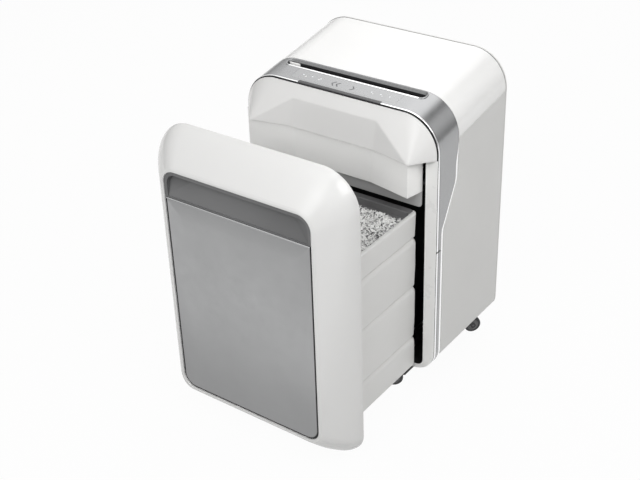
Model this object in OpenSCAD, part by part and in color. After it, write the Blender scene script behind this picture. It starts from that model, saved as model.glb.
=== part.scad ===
// Office paper shredder with a pull-out bin, drawn with the bin pulled out.
// Millimetres. X is across the front, Y runs to the back, Z is up from the floor.
// The origin lies on the floor, in the middle of the box around the opened shredder.
// Sub-parts are drawn from the cabinet's front plane (y = 0), then moved into place.

/* [Cabinet] */
// Width over the side panels
body_w = 350; // [346:1:380]
// Depth from the front frame's face to the rear panel's back
body_d = 203; // [202:1:230]
// Height of the front outline's top edge above the floor
front_h = 483; // [480:1:510]
// Rise of the top towards the back, in degrees
top_slope = 8.7; // [6:0.1:10]
// Radius of the outline's top corners
corner_top_r = 59; // [50:1:60]
// Radius of the outline's bottom corners
corner_bottom_r = 39; // [34:1:42]
// Wall of the casing panels
wall = 3; // [2.5:0.1:3.4]
// Height of the front frame's bottom edge
frame_z = 36; // [36:0.5:38]
// Height of the side panels' bottom edge
panel_z = 63; // [58:1:68]
// Depth of the top cover's side skirt below the top surface
seam_drop = 60; // [60:1:70]
// Width of the front frame's posts
post_w = 20; // [18:0.5:22]
// Depth of the front frame behind its face
frame_d = 20; // [16:1:22]
// Thickness of the front frame's bottom bar
bar_h = 9; // [8:0.5:10]

/* [Silver band] */
// Distance of the band's rear edge from the front plane, over the top
band_rear = 60; // [60:1:66]
// Distance of the lower trim's rear edge from the front plane
trim_rear = 22; // [22:1:28]
// Thickness of the band and trim
band_t = 2.5; // [2:0.1:3]
// Height where the band starts to narrow
lobe_top_z = 372; // [355:1:380]
// Height where the band has narrowed to the trim
lobe_low_z = 288; // [280:1:305]
// Height of the joint between band and lower trim
trim_split_z = 262; // [240:1:275]
// Width of the shadow groove behind the front face
groove_w = 1.2; // [0.5:0.1:1.4]

/* [Head] */
// Height of the hood's lower lip
hood_lip_z = 418; // [414:1:422]
// How far the hood's corners stand out in front of the front plane
hood_depth = 34; // [32:0.5:35]
// Distance of the hood's corners from the sides
hood_corner_in = 29.5; // [29:0.5:36]
// Distance of the creases of the hood's pocket from the sides
pocket_in = 102; // [95:1:115]
// Depth of the pocket's lower edge in front of the front plane
pocket_low_y = 20; // [18:0.5:22]
// Depth of the pocket's upper edge in front of the front plane
pocket_top_y = 13; // [12:0.5:14]
// Height of the pocket's upper edge
pocket_top_z = 456; // [450:1:458]
// Height of the skirt's lower edge
skirt_z = 361; // [356:1:366]
// Height of the chassis plate's underside
chassis_z = 372; // [370:1:374]
// Thickness of the chassis plate
chassis_t = 3; // [2:0.1:3]

/* [Paper slot] */
// Length of the opening in the band
slot_len = 248; // [244:1:250]
// Width of the opening in the band
slot_w = 16; // [15:0.5:16.5]
// Distance of the opening's middle from the front plane
slot_y = 48; // [47.5:0.1:48.4]
// Width of the throat just above the cutters
throat_w = 6; // [5:0.1:7]
// Width of paper that the throat takes
paper_w = 230; // [228:1:231]
// Rim of the slot's bezel
bezel_rim = 3; // [2:0.5:3]

/* [Cutters] */
// Distance between the two cutter shafts
shaft_gap = 34; // [33:0.5:34.5]
// Distance of the nip between the cutters from the front plane
nip_y = 45; // [45:0.5:46]
// Height of the cutter shafts
shaft_z = 407; // [406:0.5:408]
// Radius of the cutter discs over their teeth
disc_r = 19; // [18:0.1:19]
// Radius of the core between the discs
core_r = 13; // [11:0.1:13]
// Pitch of the discs along each shaft
disc_pitch = 10; // [10:0.5:12]
// Thickness of a disc
disc_t = 4; // [3:0.1:4]
// Teeth on a disc
disc_teeth = 12; // [8:1:14]
// Radius of the shaft journals
journal_r = 7; // [6:0.1:7.5]
// Radial clearance of every running fit
run_gap = 0.05; // [0.02:0.01:0.08]
// Thickness of the steel side plates
plate_t = 3; // [2.5:0.1:3.5]

/* [Gears] */
// Teeth on each timing gear
timing_teeth = 17; // [15:1:19]
// Teeth on the gear that drives the rear shaft
drive_teeth = 40; // [38:1:40]
// Teeth on the small wheel of the idler
idler_small_teeth = 14; // [13:1:15]
// Teeth on the large wheel of the idler
idler_large_teeth = 30; // [29:1:31]
// Teeth on the motor's pinion
pinion_teeth = 12; // [11:1:13]
// Module of the drive gears
gear_module = 1.5; // [1.45:0.01:1.5]
// Radius of the motor's can
motor_r = 34; // [30:1:34]
// Length of the motor's can
motor_len = 110; // [90:1:120]

/* [Bin] */
// How far the bin is pulled out
drawer_out = 197; // [180:1:198]
// Depth of the drawer front's moulding
face_d = 52; // [52:1:56]
// Height of the drawer front's bottom edge
drawer_z = 10; // [9:0.5:14]
// Width of the drawer front's white side around the panel
aperture_in = 44.5; // [43:0.5:49]
// Height of the aperture's bottom edge
aperture_low_z = 48.4; // [46:0.1:52]
// Height of the aperture's top edge
aperture_top_z = 430.5; // [428:0.1:434]
// Height of the silver panel's top edge
panel_top_z = 384.5; // [380:0.1:388]
// Depth of the finger recess at its middle
recess_d = 26; // [22:0.5:27]
// Distance of the bin tub from the sides of the casing
tub_in = 30; // [30:0.5:33]
// Depth of the bin tub
tub_d = 194; // [180:1:194]
// Height of the tub's floor
tub_z = 48; // [48:0.5:50]
// Height of the tub's rim
tub_top_z = 328; // [322:1:334]
// Depth of the grooves round the tub
groove_d = 4; // [2:0.5:5]
// Wall of the tub inside the grooves
tub_wall = 3; // [2:0.1:4]
// Height of the shredded paper's surface
fill_z = 314; // [290:1:318]

/* [Runners] */
// Distance of each runner from the side of the tub
runner_in = 45; // [41:1:60]
// Length of each runner member
runner_len = 172; // [150:1:174]
// Running gap between the runner members
runner_gap = 0.3; // [0.2:0.05:0.4]

/* [Casters] */
// Radius of the caster wheels
wheel_r = 14.5; // [13:0.1:14.5]
// Width of the caster wheels
wheel_w = 9; // [7:0.5:10]
// Trail of the wheel behind the swivel
trail = 13; // [11:0.5:13]
// Distance of the front swivels from the sides
caster_front_in = 53; // [51:1:59]
// Distance of the rear swivels from the sides
caster_rear_in = 41; // [41:1:57]
// Distance of the front swivels in front of the front plane
caster_front_y = 8; // [8:0.5:10]
// Distance of the rear swivels from the rear face
caster_rear_y = 29; // [28:1:40]
// Radius of the swivel stems
stem_r = 3.5; // [3:0.1:4]

/* [Hidden] */
$fn = 48;

// ---- shared clearances and helpers' limits ----
half_w = body_w / 2;
// Moves the sub-parts so that the opened shredder's box is centred on the origin
front_y = (drawer_out + face_d - body_d) / 2;
// Gap between the closed drawer front and the front frame
closed_gap = 1.5;
// Gap between neighbouring casing pieces
fit_gap = 0.1;
// A cut runs this far past the face that it opens
past = 1;
// Larger than the whole shredder
huge = 600;
// Thickness of the slices that a hull spans
thin = 0.01;
// Distance by which neighbouring frames and trays keep clear of each other
seat_gap = 2;

post_x = half_w - post_w;
hood_corner_x = half_w - hood_corner_in;
pocket_x = half_w - pocket_in;
aperture_x = half_w - aperture_in;
tub_hw = half_w - tub_in;
runner_x = tub_hw - runner_in;
caster_front_x = half_w - caster_front_in;
caster_rear_x = half_w - caster_rear_in;
bar_top_z = frame_z + bar_h;
rear_inner_y = body_d - wall;
floor_t = 3;
floor_z = frame_z - 1 - floor_t;
floor_top_z = floor_z + floor_t;
base_half_w = half_w - 25;
toe_d = caster_front_y + 14;
toe_half_w = caster_front_x + 14;
boss_r = stem_r + 4;
boss_top_z = floor_top_z + 9;
flange_z = frame_z + corner_bottom_r;
tray_y0 = frame_d + seat_gap;
tray_y1 = rear_inner_y - fit_gap;

// Screws through the rear panel into the side panels
screw_r = 1.6;
screw_head_r = 3.6;
screw_boss_r = 4.5;
screw_head_d = 2;
screw_len = 14;
screw_x = half_w - wall - 4;
screw_heights = [panel_z + 33, 250, chassis_z - 17];

// Inlet and switch in the rear panel
inlet_x = 57 - half_w;
inlet_z = chassis_z + 26;
inlet_w = 27;
inlet_h = 20;
inlet_d = 18;
switch_x = inlet_x + 44;
switch_w = 24;
switch_h = 34;
rocker_depth = 8;
rocker_half_h = 12;
rocker_half_w = 9;
rocker_tilt = 5;
rocker_pin_r = 1.5;
rocker_well = 2;

// Plate and neck that the frame and hood share: the plate stands proud of the shadow groove
face_inset = 0.6;
face_t = groove_w + 0.4;
neck_inset = band_t + fit_gap;
// Width of the hood's flat border, and thickness of its neck
face_border = 11;
neck_t = 2.5;

// Plan of the skirt's outer face, right half, from the middle outwards
skirt_gap = 4;
skirt_side_gap = 6;
skirt_side_x = post_x - skirt_side_gap;
skirt_path = [
    [pocket_x - 3, -pocket_low_y + skirt_gap],
    [hood_corner_x - 3, -hood_depth + skirt_gap],
    [skirt_side_x, 0]
];

// Touch strip between the front edge and the slot, with its lights and board
slot_v = slot_y / cos(top_slope);
overlay_x = 95;
overlay_v0 = 12;
overlay_v1 = slot_v - slot_w / 2 - 4;
overlay_t = 0.6;
light_r = 1.3;
// Distances of the lights from the ends of the strip
light_ins = [17, 33, 49];
light_places = [
    for (s = [-1, 1], x_in = light_ins) [s * (overlay_x - x_in), (overlay_v0 + overlay_v1) / 2]
];
// Depth of the control board below the top surface
board_n = 10;
board_t = 1.6;
board_post_r = 2;

chassis_top_z = chassis_z + chassis_t;
plate_x = paper_w / 2 + 7;
plate_out_x = plate_x + plate_t;
shaft_front_y = nip_y - shaft_gap / 2;
shaft_rear_y = nip_y + shaft_gap / 2;
timing_module = shaft_gap / timing_teeth;
timing_x = plate_out_x + 2;
timing_t = 6;
drive_x = timing_x + timing_t + 2;
drive_t = 6;
large_x = drive_x + drive_t + 2;
large_t = 5;
cover_x = large_x + large_t + 4;
cover_t = 2;
idler_angle = 18;
pinion_angle = -14;
idler_dist = gear_module * (drive_teeth + idler_small_teeth) / 2;
pinion_dist = gear_module * (idler_large_teeth + pinion_teeth) / 2;
idler_y = shaft_rear_y + idler_dist * cos(idler_angle);
idler_z = shaft_z + idler_dist * sin(idler_angle);
motor_y = idler_y + pinion_dist * cos(pinion_angle);
motor_z = idler_z + pinion_dist * sin(pinion_angle);
idler_pin_r = 3;
rotor_r = 4;
rotor_len = 30;
idler_hub_r = 7;
motor_neck_l = 8;
motor_neck_r = motor_r - 8;
motor_tail_r = 12;
saddle_w = 40;
saddle_in = 14;
saddle_out = 24;
cover_post_r = 3;
bush_r = journal_r + 3;
hook_d = 3;
disc_stagger = 11;
press_gap = 0.02;
disc_count = floor((paper_w - disc_t) / disc_pitch) + 1;
first_disc_x = -(disc_count - 1) * disc_pitch / 2;
plate_front_y = 4;
plate_back_y = motor_y + motor_r + 4;
plate_back_left_y = shaft_rear_y + 38;
plate_top_z = shaft_z + 43;
comb_inset = 2;
comb_t = 4;
comb_gap = 0.5;
comb_bar_h = 24;
comb_finger_h = 10;
tie_r = 3;
tie_places = [
    [plate_front_y + 7, plate_top_z - 8],
    [shaft_rear_y + 32, plate_top_z - 8],
    [shaft_rear_y + 30, chassis_top_z + 9]
];
cover_front_y = frame_d + seat_gap;
cover_posts = [
    for (y = [cover_front_y + 5, plate_back_y - 5], z = [chassis_top_z + 6, plate_top_z - 5]) [y, z]
];

// Main board on the chassis, behind the cutters
board_lift = 6;
board_len = 90;
board_w = 60;
board_x0 = 25 - half_w;
board_x1 = board_x0 + board_len;
board_y0 = plate_back_left_y + 12;
board_y1 = board_y0 + board_w;
board_post_in = 5;
cap_r = 9;
cap_h = 26;
coil_h = 22;
relay_h = 15;
chip_h = 8;
board_posts = [
    for (x = [board_x0 + board_post_in, board_x1 - board_post_in])
        for (y = [board_y0 + board_post_in, board_y1 - board_post_in]) [x, y]
];

bezel_t = 6;
bezel_lip = 0.6;
guide_t = 2;
guide_gap = 0.3;
guide_low_z = shaft_z + disc_r + 4;
cheek_x = paper_w / 2 + 2;
flap_y = nip_y + 2;
flap_z = front_h - 9;
flap_pin_r = 1.5;

rail_y0 = frame_d + 3;
rail_w = 20;
rail_wall = 1.5;
rail_h = tub_z - floor_top_z - 1.7;
rail_lip = 2;

slide_w = rail_w - 2 * (rail_wall + runner_gap);
slide_low_z = floor_top_z + rail_wall + runner_gap;
slide_top_z = floor_top_z + rail_h - rail_wall - runner_gap;
inner_w = slide_w - 2 * (rail_wall + runner_gap);
inner_low_z = slide_low_z + rail_wall + runner_gap;
inner_top_z = slide_top_z - rail_wall - runner_gap;
neck_w = rail_w - 2 * (2 * rail_wall + 2 * rail_lip + 2 * runner_gap);

// Place of the sensor and magnet that notice the bin
sensor_x = tub_hw - 82;
sensor_z = tub_top_z - 28;

rim_w = 4;
rim_corner_r = 30;
seat_corner_r = 22;
front_wall = 5;
panel_inset = 3;
panel_t = 2;
// Open joint round the silver panel
panel_gap = 2.5;
face_ledge = 4.5;
// Room that the swivelling front wheels need under the closed drawer front
chin_cut_r = trail + wheel_r + 2.5;
chin_cut_z = 2 * wheel_r + 6;
liner_t = 2.5;
liner_low_z = tub_z + 2;
liner_top_z = tub_top_z + 17;
tub_cavity_hw = tub_hw - groove_d - tub_wall - 1;
tub_cavity_y = tub_d - groove_d - tub_wall;
groove_heights = [106, 200, 287];
liner_post_x = aperture_x - 1;
liner_post_heights = [80, 200, 320];
recess_low_z = panel_top_z + 4;
recess_top_z = aperture_top_z - face_ledge + 1;
recess_half_w = aperture_x - face_ledge + 2;

bridge_z = 2 * wheel_r + 0.4;
bridge_top_z = floor_z - 0.6;
cheek_t = 2;
cheek_gap = 0.3;
axle_r = 2;
front_turn = -145;
rear_turn = 50;

// ---- helpers ----

// Height of the sloping top at a distance behind the front plane, lowered along its normal
function top_z(y, below = 0) = front_h + y * tan(top_slope) - below / cos(top_slope);

// Share of the band's slant that is eased into the straight at each end
lobe_ease = 0.16;
lobe_steps = [
    for (k = [0 : 0.25 : 1]) k * lobe_ease,
    for (k = [0 : 0.25 : 1]) 1 - lobe_ease + k * lobe_ease
];
function lobe_share(t) =
    t <= lobe_ease ? t * t / (2 * lobe_ease * (1 - lobe_ease))
    : t >= 1 - lobe_ease ? 1 - lobe_share(1 - t)
    : (t - lobe_ease / 2) / (1 - lobe_ease);

// Right-hand rear edge of the band and trim, from the top down, as [y, z] points
function lobe_edge(gap) = [
    for (t = lobe_steps) [
        band_rear + gap - (band_rear - trim_rear) * lobe_share(t),
        lobe_top_z - (lobe_top_z - lobe_low_z) * t
    ]
];

function reversed(list) = [for (i = [len(list) - 1 : -1 : 0]) list[i]];

module in_cabinet() translate([0, front_y, 0]) children();
module in_drawer() translate([0, front_y - drawer_out, 0]) children();
module in_slides() translate([0, front_y - drawer_out / 2, 0]) children();
module mirrored() {
    children();
    mirror([1, 0, 0]) children();
}

// A box between two opposite corners
module box(low, high) translate(low) cube(high - low);

// Extrudes an XZ outline from one depth to another
module slab(y0, y1) translate([0, y1, 0]) rotate([90, 0, 0]) linear_extrude(y1 - y0) children();

// Extrudes a YZ outline across the width
module across(x0, x1, y = 0, z = 0)
    translate([x0, y, z]) rotate([90, 0, 90]) linear_extrude(x1 - x0) children();

module rod_x(r, x0, x1, y, z) translate([x0, y, z]) rotate([0, 90, 0]) cylinder(r = r, h = x1 - x0);
module rod_y(r, y0, y1, x, z) translate([x, y0, z]) rotate([-90, 0, 0]) cylinder(r = r, h = y1 - y0);

// Front view of the casing with its large top corners and smaller bottom corners
module outline2d(inset = 0, low_z = frame_z, high_z = front_h) {
    hw = half_w - inset;
    rt = corner_top_r - inset;
    rb = corner_bottom_r - inset;
    zt = high_z - inset;
    zb = low_z + inset;
    translate([-hw, zb + rb]) square([2 * hw, zt - rt - zb - rb]);
    translate([-hw + rt, zt - 2 * rt]) square([2 * (hw - rt), 2 * rt]);
    translate([-hw + rb, zb]) square([2 * (hw - rb), 2 * rb]);
    for (s = [-1, 1]) {
        translate([s * (hw - rt), zt - rt]) circle(rt);
        translate([s * (hw - rb), zb + rb]) circle(rb);
    }
}

// Places children on the sloping top: z = 0 is the top surface, y runs up the slope
module tilted() translate([0, 0, front_h]) rotate([top_slope, 0, 0]) children();

// Cross-section of the arched top, square to the slope
module arch2d(inset, low) {
    hw = half_w - inset;
    r = corner_top_r - inset;
    intersection() {
        translate([-hw, -low]) square([2 * hw, low]);
        union() {
            translate([-hw, -low]) square([2 * hw, low - corner_top_r]);
            translate([-hw + r, -low]) square([2 * (hw - r), low - inset]);
            for (s = [-1, 1]) translate([s * (hw - r), -corner_top_r]) circle(r);
        }
    }
}

// Shell of the arched top, longer than the casing at both ends
module arch_shell(t, low) tilted() difference() {
    slab(-front_h / 6, body_d + front_h / 6) arch2d(0, low);
    slab(-front_h / 5, body_d + front_h / 5) arch2d(t, low + past);
}

// Convex hull of a list of points
module point_hull(points) {
    hull() for (p = points) translate(p) cube(thin);
}

// Spur gear with involute flanks and backlash; tooth 0 points along +X
module gear2d(teeth, mod) {
    pressure_angle = 20;
    addendum = 0.85 * mod;
    dedendum = 1.25 * mod;
    tooth_share = 0.86;
    rp = teeth * mod / 2;
    rb = rp * cos(pressure_angle);
    ro = rp + addendum;
    rr = rp - dedendum;
    half = 90 / teeth * tooth_share + gear_inv(rb, rp);
    flank = [
        [rr, half], [max(rb, rr + thin), half], [rp, half - gear_inv(rb, rp)],
        [ro, half - gear_inv(rb, ro)]
    ];
    tooth = concat([for (p = flank) [p[0], -p[1]]], reversed(flank));
    polygon([
        for (i = [0 : teeth - 1], p = tooth)
            p[0] * [cos(360 * i / teeth + p[1]), sin(360 * i / teeth + p[1])]
    ]);
}
function gear_inv(rb, r) = r <= rb ? 0 : let (a = acos(rb / r)) tan(a) * 180 / PI - a;

module gear_wheel(teeth, mod, x, t, y, z, turn) across(x, x + t, y, z) rotate(turn) gear2d(teeth, mod);

// Turn that sets a tooth gap towards the gear that lies the other way along this angle
function mate_turn(angle, teeth) = angle + 180 + 180 / teeth;

// ---- casing ----

module at_swivels(z) mirrored() {
    translate([caster_front_x, -caster_front_y, z]) children();
    translate([caster_rear_x, body_d - caster_rear_y, z]) children();
}

module base_tray() color("dimgray") in_cabinet() difference() {
    union() {
        box([-base_half_w, frame_d, floor_z], [base_half_w, tray_y1, floor_top_z]);
        box([-toe_half_w, -toe_d, floor_z], [toe_half_w, frame_d, floor_top_z]);
        mirrored() {
            box([base_half_w - wall, tray_y0, floor_z], [base_half_w, tray_y1, flange_z]);
            box(
                [base_half_w - wall, tray_y0, flange_z],
                [half_w - wall - fit_gap, tray_y1, flange_z + wall]
            );
        }
        box([-base_half_w, tray_y1 - wall, floor_z], [base_half_w, tray_y1, flange_z + wall]);
        at_swivels(floor_z) cylinder(r = boss_r, h = boss_top_z - floor_z);
    }
    at_swivels(floor_z - past) cylinder(r = stem_r + run_gap, h = boss_top_z - floor_z + 2 * past);
}

// Side view of a side panel: straight back and bottom, sloping top, curved front edge
module side_profile(gap) {
    polygon(concat(
        [
            [trim_rear + gap, panel_z],
            [rear_inner_y - gap, panel_z],
            [rear_inner_y - gap, top_z(rear_inner_y - gap, seam_drop + gap)],
            [band_rear + gap, top_z(band_rear + gap, seam_drop + gap)]
        ],
        lobe_edge(gap)
    ));
}

module side_panel() {
    boss_len = 18;
    intersection() {
        slab(0, body_d) difference() {
            outline2d(0, frame_z, front_h + huge);
            outline2d(wall, frame_z, front_h + huge);
        }
        across(0, half_w) side_profile(fit_gap);
    }
    for (z = screw_heights) difference() {
        intersection() {
            rod_y(screw_boss_r, rear_inner_y - boss_len, rear_inner_y - fit_gap, screw_x, z);
            box([0, 0, 0], [half_w - wall / 2, body_d, huge]);
        }
        rod_y(screw_r + fit_gap, rear_inner_y - boss_len - past, rear_inner_y, screw_x, z);
    }
}

module side_panel_right() color("gainsboro") in_cabinet() side_panel();
module side_panel_left() color("gainsboro") in_cabinet() mirror([1, 0, 0]) side_panel();

module rear_panel() color("gainsboro") in_cabinet() {
    vent_w = 4;
    vent_h = 34;
    vent_pitch = 9;
    vent_count = 14;
    vent_x0 = -18;
    vent_row_gap = 8;
    vent_z0 = chassis_top_z + 12;
    difference() {
        slab(rear_inner_y, body_d) intersection() {
            outline2d(0, frame_z, top_z(body_d));
            translate([-half_w, panel_z]) square([body_w, huge]);
        }
        box(
            [inlet_x - inlet_w / 2, rear_inner_y - past, inlet_z - inlet_h / 2],
            [inlet_x + inlet_w / 2, body_d + past, inlet_z + inlet_h / 2]
        );
        box(
            [switch_x - switch_w / 2, rear_inner_y - past, inlet_z - switch_h / 2],
            [switch_x + switch_w / 2, body_d + past, inlet_z + switch_h / 2]
        );
        for (i = [0 : vent_count - 1], row = [0, 1]) {
            vent_z = vent_z0 + row * (vent_h + vent_row_gap);
            translate([vent_x0 + i * vent_pitch, rear_inner_y - past, vent_z])
                cube([vent_w, wall + 2 * past, vent_h]);
        }
        mirrored() for (z = screw_heights) {
            rod_y(screw_head_r + fit_gap, body_d - screw_head_d, body_d + past, screw_x, z);
            rod_y(screw_r + 4 * fit_gap, rear_inner_y - past, body_d, screw_x, z);
        }
    }
}

module casing_screws() color("silver") in_cabinet() mirrored() for (z = screw_heights) {
    rod_y(screw_head_r, body_d - screw_head_d, body_d - 2 * fit_gap, screw_x, z);
    rod_y(screw_r, rear_inner_y - screw_len, body_d - screw_head_d + fit_gap, screw_x, z);
}

module top_cover() color("white") in_cabinet() intersection() {
    arch_shell(wall, seam_drop);
    box([-half_w, band_rear + fit_gap, 0], [half_w, rear_inner_y - fit_gap, huge]);
}

// Front opening of the cabinet below the hood
module bay2d() {
    corner_r = 12;
    translate([-post_x, bar_top_z + corner_r]) square([2 * post_x, huge]);
    translate([-post_x + corner_r, bar_top_z]) square([2 * (post_x - corner_r), huge]);
    for (s = [-1, 1]) translate([s * (post_x - corner_r), bar_top_z + corner_r]) circle(corner_r);
}

module front_frame() color("whitesmoke") in_cabinet() difference() {
    union() {
        slab(0, face_t) outline2d(face_inset);
        slab(face_t, frame_d) outline2d(neck_inset);
        box([-toe_half_w, face_t, floor_top_z], [toe_half_w, frame_d, bar_top_z - past]);
    }
    slab(-past, frame_d + past) bay2d();
    box([-half_w, -past, hood_lip_z - fit_gap], [half_w, frame_d + past, huge]);
    mirrored() box(
        [runner_x - rail_w / 2, -past, floor_top_z + rail_wall],
        [runner_x + rail_w / 2, frame_d + past, bar_top_z + past]
    );
}

// Points of the hood's pocket, moved back by a wall thickness
function pocket_points(back) = [
    for (s = [-1, 1]) each [
        [s * pocket_x, back - pocket_top_y, pocket_top_z],
        [s * pocket_x, back - pocket_low_y, hood_lip_z - past],
        [s * (hood_corner_x + past), back - hood_depth - past, hood_lip_z - past],
        [s * pocket_x, -2 * hood_depth, pocket_top_z],
        [s * (hood_corner_x + past), -2 * hood_depth, hood_lip_z - past]
    ]
];

// Solid wedge of the hood, smaller by an inset
module hood_wedge(inset, lip_z) {
    margin = 8;
    hull() {
        slab(-thin, 0) intersection() {
            outline2d(margin + inset);
            translate([-half_w, lip_z]) square([body_w, huge]);
        }
        for (s = [-1, 1])
            translate([s * (hood_corner_x - inset), inset - hood_depth, lip_z]) cube(thin);
    }
}

module head_hood() color("whitesmoke") in_cabinet() {
    shell = 2.5;
    difference() {
        union() {
            intersection() {
                union() {
                    slab(0, face_t) outline2d(face_inset);
                    slab(face_t, frame_d) outline2d(neck_inset);
                }
                box([-half_w, 0, hood_lip_z], [half_w, frame_d, huge]);
            }
            difference() {
                hood_wedge(0, hood_lip_z);
                point_hull(pocket_points(0));
            }
        }
        difference() {
            hood_wedge(shell, hood_lip_z - past);
            point_hull(pocket_points(shell));
        }
        slab(-0.02, face_t) intersection() {
            outline2d(face_border);
            translate([-half_w, hood_lip_z - past]) square([body_w, huge]);
        }
        slab(face_t, frame_d + past) intersection() {
            outline2d(neck_inset + neck_t);
            translate([-half_w, hood_lip_z - past]) square([body_w, huge]);
        }
    }
}
module head_skirt() color("gainsboro") in_cabinet() {
    skirt_t = 2.5;
    outer = concat([for (p = reversed(skirt_path)) [-p[0], p[1]]], skirt_path);
    inner_path = [for (p = skirt_path) p + [-skirt_t * 0.6, skirt_t]];
    inner = concat([for (p = reversed(inner_path)) [-p[0], p[1]]], inner_path);
    translate([0, 0, skirt_z]) linear_extrude(hood_lip_z - skirt_z) difference() {
        polygon(concat(outer, [[skirt_side_x, skirt_t], [-skirt_side_x, skirt_t]]));
        polygon(concat(inner, [[inner_path[2][0], skirt_t + past], [-inner_path[2][0], skirt_t + past]]));
    }
}

module band_profile() {
    polygon(concat(
        [[face_t + groove_w, huge], [face_t + groove_w, trim_split_z + fit_gap]],
        [[trim_rear, trim_split_z + fit_gap]],
        reversed(lobe_edge(0)),
        [[band_rear, huge]]
    ));
}

// Cutter for the slot in pieces that lie on the sloping top
module slot_cut(grow, depth) translate([-slot_len / 2 - grow, slot_v - slot_w / 2 - grow, -depth])
    cube([slot_len + 2 * grow, slot_w + 2 * grow, depth + 2 * past]);

// Bores for the lights through the band and the touch strip
module light_holes() for (p = light_places)
    translate([p[0], p[1], -board_n]) cylinder(r = light_r + fit_gap, h = board_n + past);

module silver_band() color("silver") in_cabinet() difference() {
    intersection() {
        arch_shell(band_t, front_h - trim_split_z + band_rear);
        across(-half_w, half_w) band_profile();
    }
    tilted() {
        slot_cut(bezel_rim - past, corner_top_r);
        translate([-overlay_x, overlay_v0, -overlay_t])
            cube([2 * overlay_x, overlay_v1 - overlay_v0, overlay_t + past]);
        light_holes();
    }
}

module lower_trim() color("silver") in_cabinet() intersection() {
    slab(face_t + groove_w, trim_rear) difference() {
        outline2d();
        outline2d(band_t);
    }
    mirrored() box([toe_half_w + fit_gap, 0, 0], [half_w, body_d, trim_split_z]);
}

module slot_bezel() color("dimgray") in_cabinet() tilted() difference() {
    union() {
        slot_cut_solid(bezel_rim, 0, bezel_lip);
        slot_cut_solid(bezel_rim - past - fit_gap, -bezel_t, 0);
    }
    slot_cut(0, bezel_t + past);
}

module slot_cut_solid(grow, low, high) translate([-slot_len / 2 - grow, slot_v - slot_w / 2 - grow, low])
    cube([slot_len + 2 * grow, slot_w + 2 * grow, high - low]);

// Underside of the bezel, where a guide starts
function guide_top_z(y) = top_z(y, bezel_t + guide_gap);

// Side view of a throat guide that runs from the bezel's edge down to the nip
module guide2d(side) {
    y_top = slot_y + side * slot_w / 2;
    y_low = nip_y + side * throat_w / 2;
    y_back = y_top + side * guide_t;
    polygon([
        [y_top, guide_top_z(y_top)], [y_low, guide_low_z],
        [y_low + side * guide_t, guide_low_z], [y_back, guide_top_z(y_back)]
    ]);
}

module throat_guide_front() color("darkgray") in_cabinet() across(-plate_x + 1, plate_x - 1) guide2d(-1);

module throat_guide_rear() color("darkgray") in_cabinet() {
    across(-plate_x + 1, plate_x - 1) guide2d(1);
    y0 = slot_y - slot_w / 2 + fit_gap;
    y1 = slot_y + slot_w / 2;
    difference() {
        mirrored() across(cheek_x, cheek_x + guide_t) polygon([
            [y0, guide_top_z(y0)], [y1, guide_top_z(y1)],
            [nip_y + throat_w / 2, guide_low_z], [nip_y - throat_w / 2 + fit_gap, guide_low_z]
        ]);
        rod_x(flap_pin_r + run_gap, -cheek_x - 2 * guide_t, -cheek_x + guide_t, flap_y, flap_z);
    }
}

module paper_sensor_flap() color("white") in_cabinet() {
    hub_r = 3;
    hub_end_x = -cheek_x + 10;
    arm_len = 24;
    arm_t = 2.4;
    arm_in = 2;
    rod_x(flap_pin_r, -cheek_x - guide_t, hub_end_x, flap_y, flap_z);
    rod_x(hub_r, -cheek_x + guide_gap, hub_end_x, flap_y, flap_z);
    box(
        [-cheek_x + arm_in, flap_y - arm_t / 2, flap_z - arm_len],
        [hub_end_x - arm_in, flap_y + arm_t / 2, flap_z]
    );
}

module control_overlay() color("lightgray") in_cabinet() tilted() difference() {
    translate([-overlay_x + fit_gap, overlay_v0 + fit_gap, -overlay_t])
        cube([2 * (overlay_x - fit_gap), overlay_v1 - overlay_v0 - 2 * fit_gap, overlay_t]);
    light_holes();
}

module control_board() color("seagreen") in_cabinet() tilted() {
    translate([-overlay_x, overlay_v0, -board_n - board_t])
        cube([2 * overlay_x, overlay_v1 - overlay_v0, board_t]);
    for (x = [-overlay_x + 5, 0, overlay_x - 5])
        translate([x, overlay_v1 - 3, -board_n]) cylinder(r = board_post_r, h = board_n - band_t);
}

module status_lights() color("deepskyblue") in_cabinet() tilted()
    for (p = light_places) translate([p[0], p[1], -board_n]) cylinder(r = light_r, h = board_n);

// ---- cutting head ----

module head_chassis() color("slategray") in_cabinet() difference() {
    union() {
        translate([0, 0, chassis_z]) linear_extrude(chassis_t)
            polygon(concat(chassis_edge(1), reversed(chassis_edge(-1))));
        for (p = board_posts)
            translate([p[0], p[1], chassis_top_z]) cylinder(r = board_post_r, h = board_lift);
    }
    hole_x = plate_x - 3;
    hole_y0 = shaft_front_y - disc_r - 5;
    hole_y1 = shaft_rear_y + disc_r + 5;
    box([-hole_x, hole_y0, chassis_z - past], [hole_x, hole_y1, chassis_top_z + past]);
}

// Right or left edge of the chassis plate, from the front: it fills the casing behind the frame
function chassis_edge(s) = [
    [s * (post_x - 1), face_t + band_t], [s * (post_x - 1), tray_y0],
    [s * (half_w - wall - fit_gap), tray_y0], [s * (half_w - wall - fit_gap), tray_y1]
];

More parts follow.
